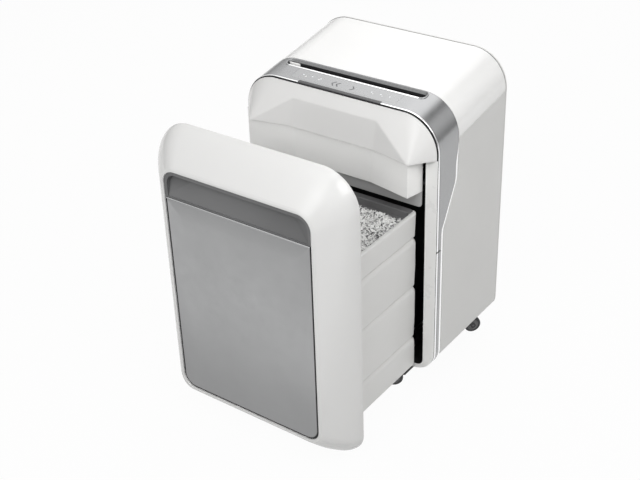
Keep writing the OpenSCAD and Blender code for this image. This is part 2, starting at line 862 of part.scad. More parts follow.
// Board with a capacitor, a coil, a relay and a driver chip
module main_board() color("seagreen") in_cabinet() {
    z = chassis_top_z + board_lift;
    top = z + board_t;
    mid_y = (board_y0 + board_y1) / 2;
    box([board_x0, board_y0, z], [board_x1, board_y1, top]);
    translate([board_x0 + 2.2 * cap_r, board_y0 + 2 * cap_r, top]) cylinder(r = cap_r, h = cap_h);
    box(
        [board_x0 + 4.5 * cap_r, board_y0 + cap_r, top],
        [board_x1 - coil_h, mid_y - board_post_in, top + coil_h]
    );
    box([board_x0 + cap_r, mid_y + cap_r, top], [board_x0 + 3 * cap_r, board_y1 - cap_r, top + relay_h]);
    box([board_x0 + 5 * cap_r, mid_y + cap_r, top], [board_x1 - 3 * cap_r, board_y1 - cap_r, top + chip_h]);
}

module cutter_plate2d(start_y, back_y) translate([start_y, chassis_top_z])
    square([back_y - start_y, plate_top_z - chassis_top_z]);

module cutter_plate(x0, back_y) difference() {
    across(x0, x0 + plate_t) cutter_plate2d(plate_front_y, back_y);
    for (y = [shaft_front_y, shaft_rear_y])
        rod_x(bush_r + press_gap, x0 - past, x0 + plate_t + past, y, shaft_z);
    for (p = tie_places) rod_x(tie_r + press_gap, x0 - past, x0 + plate_t + past, p[0], p[1]);
}

module cutter_plate_left() color("silver") in_cabinet() cutter_plate(-plate_out_x, plate_back_left_y);

module cutter_plate_right() color("silver") in_cabinet() difference() {
    cutter_plate(plate_x, plate_back_y);
    rod_x(rotor_r + 5, plate_x - past, plate_out_x + past, motor_y, motor_z);
    rod_x(idler_pin_r + press_gap, plate_x - past, plate_out_x + past, idler_y, idler_z);
}

module tie_rods() color("silver") in_cabinet()
    for (p = tie_places) rod_x(tie_r, -plate_out_x, plate_out_x, p[0], p[1]);

module shaft_bushings() color("goldenrod") in_cabinet()
    for (x0 = [-plate_out_x, plate_x], y = [shaft_front_y, shaft_rear_y]) difference() {
        rod_x(bush_r, x0, x0 + plate_t, y, shaft_z);
        rod_x(journal_r + run_gap, x0 - past, x0 + plate_t + past, y, shaft_z);
    }

// Cutter disc with hooked teeth
module disc2d() polygon([
    for (i = [0 : disc_teeth - 1]) each [
        disc_r * [cos(360 * i / disc_teeth), sin(360 * i / disc_teeth)],
        (disc_r - hook_d) * [cos(360 * (i + 0.15) / disc_teeth), sin(360 * (i + 0.15) / disc_teeth)],
        (disc_r - hook_d / 4) * [cos(360 * (i + 0.7) / disc_teeth), sin(360 * (i + 0.7) / disc_teeth)]
    ]
]);

module cutter_shaft(y, shift, count, x_end) {
    rod_x(journal_r, -plate_out_x - 2, x_end, y, shaft_z);
    rod_x(core_r, -plate_x + 1, plate_x - 1, y, shaft_z);
    for (i = [0 : count - 1]) {
        x0 = first_disc_x + shift + i * disc_pitch - disc_t / 2;
        across(x0, x0 + disc_t, y, shaft_z) rotate(i * disc_stagger) disc2d();
    }
}

module cutter_shaft_rear() color("lightsteelblue") in_cabinet()
    cutter_shaft(shaft_rear_y, 0, disc_count, drive_x + drive_t + 1);

module cutter_shaft_front() color("lightsteelblue") in_cabinet()
    cutter_shaft(shaft_front_y, disc_pitch / 2, disc_count - 1, timing_x + timing_t + 1);

module on_shaft(x, t, y) difference() {
    children();
    rod_x(journal_r + press_gap, x - past, x + t + past, y, shaft_z);
}

module timing_gear_rear() color("goldenrod") in_cabinet() on_shaft(timing_x, timing_t, shaft_rear_y)
    gear_wheel(timing_teeth, timing_module, timing_x, timing_t, shaft_rear_y, shaft_z, 180);

module timing_gear_front() color("goldenrod") in_cabinet() on_shaft(timing_x, timing_t, shaft_front_y)
    gear_wheel(timing_teeth, timing_module, timing_x, timing_t, shaft_front_y, shaft_z, 180 / timing_teeth);

module drive_gear() color("whitesmoke") in_cabinet() on_shaft(drive_x, drive_t, shaft_rear_y)
    gear_wheel(drive_teeth, gear_module, drive_x, drive_t, shaft_rear_y, shaft_z, idler_angle);

module idler_gear() color("ivory") in_cabinet() difference() {
    union() {
        gear_wheel(
            idler_small_teeth, gear_module, drive_x, drive_t, idler_y, idler_z,
            mate_turn(idler_angle, idler_small_teeth)
        );
        rod_x(idler_hub_r, drive_x + drive_t, large_x, idler_y, idler_z);
        gear_wheel(idler_large_teeth, gear_module, large_x, large_t, idler_y, idler_z, pinion_angle);
    }
    rod_x(idler_pin_r + run_gap, drive_x - past, large_x + large_t + past, idler_y, idler_z);
}

module idler_pin() color("silver") in_cabinet()
    rod_x(idler_pin_r, plate_x, cover_x + cover_t, idler_y, idler_z);

module motor_pinion() color("silver") in_cabinet() {
    rod_x(rotor_r, plate_x - rotor_len, large_x + large_t + rotor_r / 2, motor_y, motor_z);
    gear_wheel(
        pinion_teeth, gear_module, large_x, large_t, motor_y, motor_z,
        mate_turn(pinion_angle, pinion_teeth)
    );
}

module motor_can() color("dimgray") in_cabinet() difference() {
    union() {
        rod_x(motor_r, plate_x - motor_len, plate_x - motor_neck_l, motor_y, motor_z);
        rod_x(motor_neck_r, plate_x - motor_neck_l, plate_x, motor_y, motor_z);
        rod_x(motor_tail_r, plate_x - motor_len - motor_neck_l, plate_x - motor_len, motor_y, motor_z);
    }
    rod_x(rotor_r + run_gap, plate_x - rotor_len - past, plate_x + past, motor_y, motor_z);
}

module motor_saddle() color("slategray") in_cabinet() difference() {
    box(
        [plate_x - motor_len + saddle_in, motor_y - saddle_w / 2, chassis_top_z],
        [plate_x - saddle_out, motor_y + saddle_w / 2, motor_z - motor_r * 0.8]
    );
    rod_x(motor_r + fit_gap, plate_x - motor_len, plate_x, motor_y, motor_z);
}

module gear_cover() color("darkgray") in_cabinet() difference() {
    union() {
        across(cover_x, cover_x + cover_t) cutter_plate2d(cover_front_y, plate_back_y);
        for (p = cover_posts) rod_x(cover_post_r, plate_out_x, cover_x, p[0], p[1]);
    }
    rod_x(idler_pin_r + press_gap, cover_x - past, cover_x + cover_t + past, idler_y, idler_z);
}

// Bar with a finger in each gap between the discs of one shaft
module stripper_comb(bar_y, tip_y, shift, count) {
    bar_x = plate_x - fit_gap;
    bar_low_z = shaft_z - comb_bar_h / 2;
    bar_high_z = shaft_z + comb_bar_h / 2;
    box([-bar_x, bar_y, bar_low_z], [bar_x, bar_y + comb_t, bar_high_z]);
    y0 = min(bar_y + comb_t / 2, tip_y);
    y1 = max(bar_y + comb_t / 2, tip_y);
    for (i = [0 : count - 1]) {
        x = first_disc_x + shift + i * disc_pitch;
        box(
            [x - comb_t / 2, y0, shaft_z - comb_finger_h / 2],
            [x + comb_t / 2, y1, shaft_z + comb_finger_h / 2]
        );
    }
}

module stripper_comb_front() color("darkgray") in_cabinet()
    stripper_comb(
        shaft_front_y - disc_r - comb_inset - comb_t, shaft_front_y - core_r - comb_gap,
        disc_pitch, disc_count - 2
    );

module stripper_comb_rear() color("darkgray") in_cabinet()
    stripper_comb(
        shaft_rear_y + disc_r + comb_inset, shaft_rear_y + core_r + comb_gap,
        disc_pitch / 2, disc_count - 1
    );

// ---- electrics at the back ----

module power_inlet() color("black") in_cabinet() {
    recess_w = 23;
    recess_h = 16;
    recess_deep = 14;
    difference() {
        box(
            [inlet_x - inlet_w / 2 + fit_gap, body_d - inlet_d, inlet_z - inlet_h / 2 + fit_gap],
            [inlet_x + inlet_w / 2 - fit_gap, body_d, inlet_z + inlet_h / 2 - fit_gap]
        );
        box(
            [inlet_x - recess_w / 2, body_d - recess_deep, inlet_z - recess_h / 2],
            [inlet_x + recess_w / 2, body_d + past, inlet_z + recess_h / 2]
        );
    }
    for (p = [[-7, -2.5], [0, 2.5], [7, -2.5]])
        box(
            [inlet_x + p[0] - 1, body_d - recess_deep - past, inlet_z + p[1] - 2],
            [inlet_x + p[0] + 1, body_d - 6, inlet_z + p[1] + 2]
        );
}

module switch_housing() color("dimgray") in_cabinet() difference() {
    box(
        [switch_x - switch_w / 2 + fit_gap, body_d - 18, inlet_z - switch_h / 2 + fit_gap],
        [switch_x + switch_w / 2 - fit_gap, body_d, inlet_z + switch_h / 2 - fit_gap]
    );
    box(
        [switch_x - rocker_half_w - 0.4, body_d - 15, inlet_z - rocker_half_h - rocker_well],
        [switch_x + rocker_half_w + 0.4, body_d + past, inlet_z + rocker_half_h + rocker_well]
    );
    rod_x(rocker_pin_r + run_gap, switch_x - 11, switch_x + 11, body_d - rocker_depth, inlet_z);
}

module power_rocker() color("black") in_cabinet() translate([0, body_d - rocker_depth, inlet_z])
    rotate([-rocker_tilt, 0, 0]) {
        across(switch_x - rocker_half_w, switch_x + rocker_half_w) polygon([
            [-3, -rocker_half_h], [rocker_depth - 1.6, -rocker_half_h], [rocker_depth - 3, 0],
            [rocker_depth - 1.6, rocker_half_h], [-3, rocker_half_h]
        ]);
        rod_x(rocker_pin_r, switch_x - 10.8, switch_x + 10.8, 0, 0);
    }

module bin_sensor() color("black") in_cabinet()
    box([sensor_x - 13, rear_inner_y - 3, sensor_z - 8], [sensor_x + 13, rear_inner_y, sensor_z + 8]);

module bin_magnet() color("dimgray") in_drawer()
    box([sensor_x - 9, tub_d, sensor_z - 6], [sensor_x + 9, tub_d + 1.5, sensor_z + 6]);

// ---- bin ----

// Back-to-front shrink of the drawer front's outline, from 0 at the back to 1 at the rim
function sweep_share(t) = pow(t, 1.6);

module face_slice(t, inset, y) {
    share = sweep_share(t);
    side = share * (half_w - aperture_x - rim_w);
    top = share * (front_h - aperture_top_z - rim_w);
    bottom = share * (aperture_low_z - rim_w - drawer_z);
    hw = half_w - side - inset;
    z0 = drawer_z + bottom + inset;
    z1 = front_h - top - inset;
    rt = corner_top_r - inset - share * (corner_top_r - rim_corner_r);
    rb = corner_bottom_r - inset - share * (corner_bottom_r - rim_corner_r + 2 * rim_w);
    slab(y - thin, y) for (s = [-1, 1]) {
        translate([s * (hw - rt), z1 - rt]) circle(rt, $fn = 40);
        translate([s * (hw - rb), z0 + rb]) circle(rb, $fn = 40);
    }
}

module face_loft(inset, depth) hull() for (i = [0 : 4]) {
    t = i / 4;
    face_slice(t, inset, -t * depth);
}

// Rectangle of the panel's seat in the front rim, smaller by an inset
module seat2d(inset) {
    r = seat_corner_r - inset;
    hw = aperture_x - inset;
    z0 = aperture_low_z + inset;
    z1 = aperture_top_z - inset;
    translate([-hw, z0 + r]) square([2 * hw, z1 - z0 - 2 * r]);
    translate([-hw + r, z0]) square([2 * (hw - r), z1 - z0]);
    for (s = [-1, 1], z = [z0 + r, z1 - r]) translate([s * (hw - r), z]) circle(r);
}

module drawer_front() color("white") in_drawer() {
    difference() {
        face_loft(0, face_d);
        translate([0, 0.02, 0]) face_loft(wall, face_d - front_wall);
        slab(-face_d - past, -face_d + panel_inset) seat2d(0);
        slab(-face_d - past, 0) seat2d(face_ledge);
        mirrored() translate([caster_front_x, closed_gap - caster_front_y, -past]) {
            cylinder(r = chin_cut_r, h = chin_cut_z + past);
            translate([-chin_cut_r, 0, 0]) cube([2 * chin_cut_r, caster_front_y + past, chin_cut_z + past]);
        }
    }
    mirrored() for (z = liner_post_heights)
        rod_y(3, -face_d + front_wall - 0.5, -liner_t - 0.05, liner_post_x, z);
}

module drawer_panel() color("darkgray") in_drawer()
    slab(-face_d + panel_inset - panel_t, -face_d + panel_inset) intersection() {
        seat2d(panel_gap);
        translate([-half_w, 0]) square([body_w, panel_top_z]);
    }

module panel_trim() color("silver") in_drawer() box(
    [-aperture_x + panel_gap, -face_d + panel_inset - panel_t - 0.3, panel_top_z + 0.05],
    [aperture_x - panel_gap, -face_d + panel_inset, panel_top_z + 1.6]
);

// Corner points of the finger recess, grown by its wall
function recess_points(grow) = [
    for (s = [-1, 1]) each [
        [s * (recess_half_w + grow), -face_d - 2, recess_low_z - grow],
        [s * (recess_half_w + grow), -face_d + panel_inset, recess_low_z - grow],
        [s * (recess_half_w + grow), -face_d - 2, recess_top_z + grow],
        [s * (recess_half_w - 4 + grow), -face_d + recess_d * 0.55 + grow, recess_top_z + grow],
        [s * (pocket_x - 3), -face_d + recess_d + grow, recess_top_z + grow]
    ]
];

module handle_recess() color("dimgray") in_drawer() {
    shell = 1.6;
    front_y0 = -face_d + panel_inset;
    difference() {
        union() {
            intersection() {
                point_hull(recess_points(shell));
                slab(front_y0 - 1, 0) seat2d(face_ledge + 0.1);
            }
            slab(front_y0 - 1, front_y0) intersection() {
                seat2d(0.4);
                translate([-half_w, panel_top_z + 1.7]) square([body_w, huge]);
            }
        }
        intersection() {
            point_hull(recess_points(0));
            slab(front_y0 - 3, 0) seat2d(face_ledge + 0.1 + shell);
        }
    }
}

module drawer_liner() color("gainsboro") in_drawer() slab(-liner_t, 0) intersection() {
    outline2d(wall + 1.2, drawer_z, front_h);
    translate([-half_w, liner_low_z]) square([body_w, liner_top_z - liner_low_z]);
}

// Section of one groove, from below: a long slope inwards and a short step back out
function groove_points(face, z) = [
    [face, z - 9], [face - groove_d, z - 2], [face - past, z + 1]
];

// Bevel along the tub's lower edges
tub_edge = 3;

// Right side of the tub's front view, from the bottom up, with its grooves
function tub_side() = concat(
    [[tub_hw - tub_edge, tub_z], [tub_hw, tub_z + tub_edge]],
    [for (z = groove_heights) each groove_points(tub_hw, z)],
    [[tub_hw, tub_top_z]]
);

module bin_tub() color("whitesmoke") in_drawer() difference() {
    slab(0, tub_d) polygon(concat(tub_side(), [for (p = reversed(tub_side())) [-p[0], p[1]]]));
    box(
        [-tub_cavity_hw, tub_wall, tub_z + tub_wall],
        [tub_cavity_hw, tub_cavity_y, tub_top_z + past]
    );
    for (z = groove_heights) across(-tub_hw - past, tub_hw + past)
        polygon(concat([[tub_d + past, z - 9]], groove_points(tub_d, z), [[tub_d + past, z + 1]]));
}

module paper_shreds() color("lightgray") in_drawer() {
    side_gap = 0.3;
    box(
        [-tub_cavity_hw + side_gap, tub_wall + side_gap, tub_z + tub_wall],
        [tub_cavity_hw - side_gap, tub_cavity_y - side_gap, fill_z]
    );
}

// ---- runners under the bin ----

// C-shaped channel, open upwards between two lips
module channel2d(w, low, high, lip) difference() {
    translate([-w / 2, low]) square([w, high - low]);
    translate([-w / 2 + rail_wall, low + rail_wall]) square([w - 2 * rail_wall, high - low - 2 * rail_wall]);
    translate([-w / 2 + rail_wall + lip, low + rail_wall]) square([w - 2 * (rail_wall + lip), high]);
}

module runner_rails() color("silver") in_cabinet() mirrored() translate([runner_x, 0, 0])
    slab(rail_y0, rail_y0 + runner_len) channel2d(rail_w, floor_top_z, floor_top_z + rail_h, rail_lip);

module runner_slides() color("lightsteelblue") in_slides() mirrored() translate([runner_x, 0, 0])
    slab(rail_y0, rail_y0 + runner_len) channel2d(slide_w, slide_low_z, slide_top_z, rail_lip);

module bin_rails() color("silver") in_drawer() mirrored() translate([runner_x, 0, 0])
    slab(rail_y0 - 18, rail_y0 - 18 + runner_len) {
        translate([-inner_w / 2, inner_low_z]) square([inner_w, inner_top_z - inner_low_z]);
        translate([-neck_w / 2, inner_low_z]) square([neck_w, tub_z - inner_low_z]);
    }

// ---- casters ----

// Swivel fork with its stem, drawn at its swivel with the wheel trailing along +X
module caster_fork() {
    cheek_y = wheel_w / 2 + cheek_gap;
    translate([0, 0, bridge_z]) cylinder(r = stem_r, h = boss_top_z - bridge_z);
    translate([0, 0, bridge_z]) cylinder(r = cheek_y + cheek_t, h = bridge_top_z - bridge_z);
    box([0, -cheek_y - cheek_t, bridge_z], [stem_r + 2, cheek_y + cheek_t, bridge_top_z]);
    for (s = [-1, 1]) difference() {
        slab_between(s * (cheek_y + cheek_t / 2), cheek_t) {
            polygon([
                [-5, bridge_z - 4], [-5, bridge_top_z], [stem_r + 2, bridge_top_z],
                [trail + 4.5, wheel_r], [trail - 4.5, wheel_r]
            ]);
            translate([trail, wheel_r]) circle(4.5);
        }
        rod_y(axle_r + run_gap, -huge, huge, trail, wheel_r);
    }
}
module slab_between(y, t) slab(y - t / 2, y + t / 2) children();

module caster_wheel() {
    axle_len = wheel_w / 2 + cheek_gap + cheek_t;
    rod_y(wheel_r, -wheel_w / 2, wheel_w / 2, trail, wheel_r);
    rod_y(axle_r, -axle_len, axle_len, trail, wheel_r);
}

module at_front(side) in_cabinet() translate([side * caster_front_x, -caster_front_y, 0])
    rotate(side > 0 ? front_turn : 180 - front_turn) children();
module at_rear(side) in_cabinet() translate([side * caster_rear_x, body_d - caster_rear_y, 0])
    rotate(side > 0 ? rear_turn : 180 - rear_turn) children();

module caster_fork_front_left() color("dimgray") at_front(-1) caster_fork();
module caster_fork_front_right() color("dimgray") at_front(1) caster_fork();
module caster_fork_rear_left() color("dimgray") at_rear(-1) caster_fork();
module caster_fork_rear_right() color("dimgray") at_rear(1) caster_fork();
module caster_wheel_front_left() color("gray") at_front(-1) caster_wheel();
module caster_wheel_front_right() color("gray") at_front(1) caster_wheel();
module caster_wheel_rear_left() color("gray") at_rear(-1) caster_wheel();
module caster_wheel_rear_right() color("gray") at_rear(1) caster_wheel();

base_tray();
side_panel_left();
side_panel_right();
rear_panel();
top_cover();
front_frame();
head_hood();
head_skirt();
silver_band();
lower_trim();
slot_bezel();
throat_guide_front();
throat_guide_rear();
control_overlay();
control_board();
status_lights();
head_chassis();
cutter_plate_left();
cutter_plate_right();
tie_rods();
shaft_bushings();
stripper_comb_front();
stripper_comb_rear();
motor_can();
motor_saddle();
idler_pin();
gear_cover();
main_board();
power_inlet();
switch_housing();
bin_sensor();
casing_screws();
runner_rails();
cutter_shaft_front();
timing_gear_front();
cutter_shaft_rear();
timing_gear_rear();
drive_gear();
idler_gear();
motor_pinion();
power_rocker();
paper_sensor_flap();
drawer_front();
drawer_panel();
panel_trim();
handle_recess();
drawer_liner();
bin_tub();
bin_magnet();
paper_shreds();
bin_rails();
runner_slides();
caster_fork_front_left();
caster_fork_front_right();
caster_fork_rear_left();
caster_fork_rear_right();
caster_wheel_front_left();
caster_wheel_front_right();
caster_wheel_rear_left();
caster_wheel_rear_right();
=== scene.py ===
import math

import bmesh
import bpy
from mathutils import Matrix, Vector
from mathutils.bvhtree import BVHTree


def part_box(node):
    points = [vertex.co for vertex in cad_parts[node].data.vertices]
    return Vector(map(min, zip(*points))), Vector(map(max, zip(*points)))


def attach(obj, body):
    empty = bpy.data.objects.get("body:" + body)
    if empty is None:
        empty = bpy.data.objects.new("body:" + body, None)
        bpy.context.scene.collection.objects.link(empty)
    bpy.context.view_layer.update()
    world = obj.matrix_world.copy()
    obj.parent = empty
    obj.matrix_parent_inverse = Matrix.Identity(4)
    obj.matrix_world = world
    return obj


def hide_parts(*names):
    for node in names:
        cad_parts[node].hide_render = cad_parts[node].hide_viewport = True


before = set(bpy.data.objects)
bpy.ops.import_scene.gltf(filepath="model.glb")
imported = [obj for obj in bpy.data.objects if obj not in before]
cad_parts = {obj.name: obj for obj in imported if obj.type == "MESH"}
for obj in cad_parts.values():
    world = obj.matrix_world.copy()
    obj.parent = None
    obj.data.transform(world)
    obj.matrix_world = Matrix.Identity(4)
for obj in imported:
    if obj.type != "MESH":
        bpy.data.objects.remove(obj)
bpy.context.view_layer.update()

# ---
# The studio. A plain white floor, four soft lamps and a pale surround, as for
# a catalogue picture, and a camera that looks down from the front right corner.
scene = bpy.context.scene
scene.view_settings.view_transform = "Standard"


def new_object(name, data):
    made = bpy.data.objects.new(name, data)
    scene.collection.objects.link(made)
    return made


def node_tree(owner):
    owner.use_nodes = True
    owner.node_tree.nodes.clear()
    return owner.node_tree


def add_node(tree, kind, inputs=None, **settings):
    """Node with its settings. An input is a value, or the node or the output that feeds it."""
    kinds = [family + kind for family in ("GeometryNode", "FunctionNode", "ShaderNode", "")]
    made = tree.nodes.new(next(name for name in kinds if hasattr(bpy.types, name)))
    for name, value in settings.items():
        setattr(made, name, value)
    for key, value in (inputs or {}).items():
        if isinstance(value, bpy.types.Node):
            value = value.outputs[0]
        if isinstance(value, bpy.types.NodeSocket):
            tree.links.new(value, made.inputs[key])
        else:
            made.inputs[key].default_value = value
    return made


def times(tree, first, second):
    return add_node(tree, "Math", {0: first, 1: second}, operation="MULTIPLY")


def seen_by(tree, **shares):
    """Largest share among the kinds of ray named, 0 for the rays that carry light."""
    path = add_node(tree, "LightPath")
    total = None
    for ray, share in shares.items():
        part = times(tree, path.outputs["Is " + ray + " Ray"], share)
        total = part if total is None else add_node(tree, "Math", {0: total, 1: part}, operation="MAXIMUM")
    return total


def mixed_shaders(tree, share, first, second):
    return add_node(tree, "MixShader", {0: share, 1: first, 2: second})


def colour_ramp(tree, value, interpolation, stops):
    """Colour read off along a value from 0 to 1, with stops as (position, colour)."""
    ramp = add_node(tree, "ValToRGB", {"Fac": value})
    ramp.color_ramp.interpolation = interpolation
    for k, (position, colour) in enumerate(stops):
        stop = ramp.color_ramp.elements[k] if k < 2 else ramp.color_ramp.elements.new(1.0)
        stop.position = position
        stop.color = (*colour, 1)
    return ramp


def graded(tree, value, low, high, steps):
    """Grey read off along a value, from low to high, with a step as (place, grey)."""
    place = add_node(tree, "MapRange", {"Value": value, "From Min": low, "From Max": high})
    return colour_ramp(tree, place, "EASE", [((at - low) / (high - low), (grey,) * 3) for at, grey in steps])


# The surround is white where it is seen; what metal mirrors darkens to the right and at its horizon
surround = bpy.data.worlds.new("pale_surround")
scene.world = surround
tree = node_tree(surround)
heading = add_node(tree, "SeparateXYZ", {0: add_node(tree, "TexCoord").outputs["Generated"]}).outputs
across = graded(tree, heading["X"], -1, 1, (
    (-0.62, 0.50), (-0.46, 1.0), (0.02, 1.0), (0.32, 0.15), (0.55, 0.48)))
upwards = graded(tree, heading["Z"], -1, 1, ((-0.05, 0.35), (0.45, 1.0)))
both_ways = add_node(tree, "MixRGB", {"Fac": 1.0, "Color1": across, "Color2": upwards}, blend_type="MULTIPLY")
lit_sky, mirrored_sky, seen_sky = [
    add_node(tree, "Background", {"Color": colour, "Strength": strength}) for colour, strength in (
        ((1.0, 0.99, 0.975, 1), 0.44), (both_ways, 1.9), ((1, 1, 1, 1), 1.0))]
unseen_sky = mixed_shaders(tree, seen_by(tree, Glossy=1.0), lit_sky, mirrored_sky)
add_node(tree, "OutputWorld", {
    "Surface": mixed_shaders(tree, seen_by(tree, Camera=1.0, Transmission=1.0), unseen_sky, seen_sky)})

floor_half = 6.0
floor_mesh = bpy.data.meshes.new("studio_floor")
floor_corners = [(x * floor_half, y * floor_half, 0) for x, y in ((-1, -1), (1, -1), (1, 1), (-1, 1))]
floor_mesh.from_pydata(floor_corners, [], [(0, 1, 2, 3)])
studio_floor = new_object("studio_floor", floor_mesh)
floor_finish = bpy.data.materials.new("floor_white")
tree = node_tree(floor_finish)
floor_place = add_node(tree, "SeparateXYZ", {0: add_node(tree, "TexCoord").outputs["Object"]}).outputs
floor_lit = mixed_shaders(
    tree, seen_by(tree, Camera=0.96, Transmission=0.96),
    add_node(tree, "BsdfDiffuse", {"Color": (0.62, 0.62, 0.62, 1)}), add_node(tree, "Emission"))
# In mirrors the floor glows in lighter and darker bands along Y: painted reflections for the metal.
floor_painted_reflection = add_node(tree, "Emission", {"Strength": 1.4, "Color": graded(
    tree, floor_place["Y"], -2, 2, ((-0.80, 0.62), (-0.52, 0.97), (-0.30, 0.58), (0.1, 0.74)))})
add_node(tree, "OutputMaterial", {
    "Surface": mixed_shaders(tree, seen_by(tree, Glossy=1.0), floor_lit, floor_painted_reflection)})
floor_mesh.materials.append(floor_finish)


def soft_lamp(name, place, aim, size, power, mirrored=True):
    lamp = bpy.data.lights.new(name, "AREA")
    lamp.shape = "RECTANGLE"
    lamp.size, lamp.size_y = size
    lamp.energy = power
    holder = new_object(name, lamp)
    holder.location = place
    holder.rotation_euler = (Vector(aim) - Vector(place)).to_track_quat("-Z", "Y").to_euler()
    holder.visible_glossy = mirrored


soft_lamp("key_softbox", (1.3, -0.35, 1.8), (0.02, -0.1, 0.3), (1.3, 1.1), 14)
soft_lamp("top_softbox", (0.5, -0.1, 2.1), (0.05, -0.1, 0.3), (0.9, 0.8), 3)
soft_lamp("rear_softbox", (-0.9, 1.3, 1.3), (0, 0.1, 0.3), (1.6, 1.0), 11, False)
soft_lamp("fill_softbox", (0.25, -1.35, 1.3), (0, -0.1, 0.33), (1.0, 0.8), 12, False)

eye = bpy.data.cameras.new("catalogue_camera")
eye.lens = 66.9465
eye.sensor_width = 36
camera = new_object("catalogue_camera", eye)
# Columns: the camera's axes to the right, up and backwards, and its place
camera.matrix_world = Matrix((
    (0.81058832, -0.28089491, 0.51385272, 0.94521344),
    (0.58480844, 0.43434433, -0.68508693, -1.2917336),
    (-0.03075158, 0.85582887, 0.51634415, 1.20698975),
    (0, 0, 0, 1)))
scene.camera = camera

# ---
# The casing. Base tray, front frame, side panels, rear panel and top cover are
# injection-moulded, in white glossy and fine-grained plastic, and clip and
# screw together round the bay. Their moulded edges are slightly rounded. The
# fine-grained side and rear panels are set greyer than the glossy white, as
# painted shade; faces inside the bay and in the joints are painted black, as
# painted shade.
MM = 0.001
front_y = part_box("front_frame")[0].y
drawer_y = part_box("drawer_front")[1].y


def noise(tree, point, scale, detail=2.0, rough=0.5):
    return add_node(tree, "TexNoise", {"Vector": point, "Scale": scale, "Detail": detail, "Roughness": rough})


def remap(tree, value, low, high):
    """The middle of a noise's range, spread from low to high."""
    return add_node(tree, "MapRange", {
        "Value": value, "From Min": 0.3, "From Max": 0.7, "To Min": low, "To Max": high})


def mix_colours(tree, share, first, second):
    return add_node(tree, "Mix", {"Factor": share, 6: first, 7: second}, data_type="RGBA").outputs[2]


def moulded(name, colour, rough=0.3, grain=2e-5, grain_size=0.0005, mottle=0.02, metal=0.0, coat=0.0,
            coat_rough=0.08):
    """Moulded or painted plastic: faint flow marks in the colour, fine grain in gloss and relief."""
    made = bpy.data.materials.new(name)
    tree = node_tree(made)
    point = add_node(tree, "TexCoord").outputs["Object"]
    flow = remap(tree, noise(tree, point, 11.0, 3.0), 0, 1)
    dark, light = [(*(min(1.0, c * share) for c in colour), 1) for share in (1 - mottle, 1 + mottle)]
    patch = noise(tree, point, 60.0, 4.0, 0.6)
    skin = noise(tree, point, 1 / grain_size)
    shader = add_node(tree, "BsdfPrincipled", {
        "Base Color": mix_colours(tree, flow, dark, light), "Metallic": metal,
        "Roughness": remap(tree, patch, rough * 0.88, rough * 1.12),
        "Normal": add_node(tree, "Bump", {"Strength": 0.35, "Distance": grain, "Height": skin}),
        "Coat Weight": coat, "Coat Roughness": coat_rough})
    add_node(tree, "OutputMaterial", {"Surface": shader})
    return made


def set_shading(mesh, sharp_angle):
    mesh.polygons.foreach_set("use_smooth", [True] * len(mesh.polygons))
    mesh.set_sharp_from_angle(angle=math.radians(sharp_angle))


def finish_piece(name, mesh, materials, body, nodes=(), sharp_angle=40):
    """Object of a finished mesh that rides on a body and stands for CAD nodes."""
    mesh.name = name
    if not mesh.materials:
        for material in materials:
            mesh.materials.append(material)
    if sharp_angle:
        set_shading(mesh, sharp_angle)
    made = new_object(name, mesh)
    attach(made, body)
    if nodes:
        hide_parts(*nodes)
    # Blender adds a dot and a number to the name of a material whose name is taken.
    return made


def modified(mesh, kind, **settings):
    """The mesh with one modifier carried out."""
    holder = new_object("unmodified", mesh)
    modifier = holder.modifiers.new(kind, kind)
    for name, value in settings.items():
        if name.startswith("Socket_"):
            modifier[name] = value
        else:
            setattr(modifier, name, value)
    evaluated = holder.evaluated_get(bpy.context.evaluated_depsgraph_get())
    made = bpy.data.meshes.new_from_object(evaluated)
    bpy.data.objects.remove(holder)
    return made


def to_mesh(solid):
    mesh = bpy.data.meshes.new("shape")
    solid.to_mesh(mesh)
    solid.free()
    return mesh


def pick_finish(mesh, is_second):
    """The second finish for the faces that a test of their centre, in millimetres, and their normal picks."""
    for face in mesh.polygons:
        face.material_index = 1 if is_second(face.center / MM, face.normal) else 0


def moulding(node, material, body="cabinet", width=0.0005, crease=30, second=None, is_second=None):
    """Copy of a CAD node with rounded edges; a test may pick faces for a second finish."""
    solid = bmesh.new()
    solid.from_mesh(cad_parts[node].data)
    bmesh.ops.remove_doubles(solid, verts=solid.verts, dist=2e-6)
    bmesh.ops.dissolve_limit(solid, angle_limit=math.radians(0.5), verts=solid.verts, edges=solid.edges)
    mesh = to_mesh(solid)
    set_shading(mesh, 50)
    mesh = modified(
        mesh, "BEVEL", width=width, segments=2, limit_method="ANGLE", angle_limit=math.radians(crease),
        use_clamp_overlap=True, harden_normals=True)
    if second:
        pick_finish(mesh, is_second)
    finish_piece(
        node + "_moulding", mesh, [material, second] if second else [material], body, [node], None)


casing_white = moulded(
    "casing_white", (0.82, 0.82, 0.815), rough=0.2, coat=0.35, coat_rough=0.06, mottle=0.008)
# The side and rear panels' white is set greyer than the top cover's, as painted shade on the sides.
panel_white = moulded("panel_white", (0.66, 0.66, 0.65), rough=0.38, grain=3e-5, mottle=0.012)
frame_white = moulded("frame_white", (0.88, 0.88, 0.87), coat=0.15, mottle=0.01)
painted_shade_black = moulded("painted_shade_black", (0.012, 0.012, 0.013), rough=0.6, grain=5e-5, mottle=0.2)
base_black = moulded("base_black", (0.035, 0.035, 0.037), rough=0.45, grain=4e-5, mottle=0.1)

moulding("base_tray", base_black)

plate_t = 1.62
bay_half_w, bay_rear_y, bay_top_z = 172.5, 223.2, 505.0


def frame_joint_shade(centre, normal):
    """Faces of the frame behind its front plate, outside and inside, painted black as painted shade in the
    joints and the bay.
    """
    return centre.y - front_y / MM > plate_t


def bay_shade_side(centre, normal):
    """Inner faces of the walls round the bay, painted black as painted shade in the deep bay."""
    return abs(centre.x) < bay_half_w and centre.y < bay_rear_y and centre.z < bay_top_z


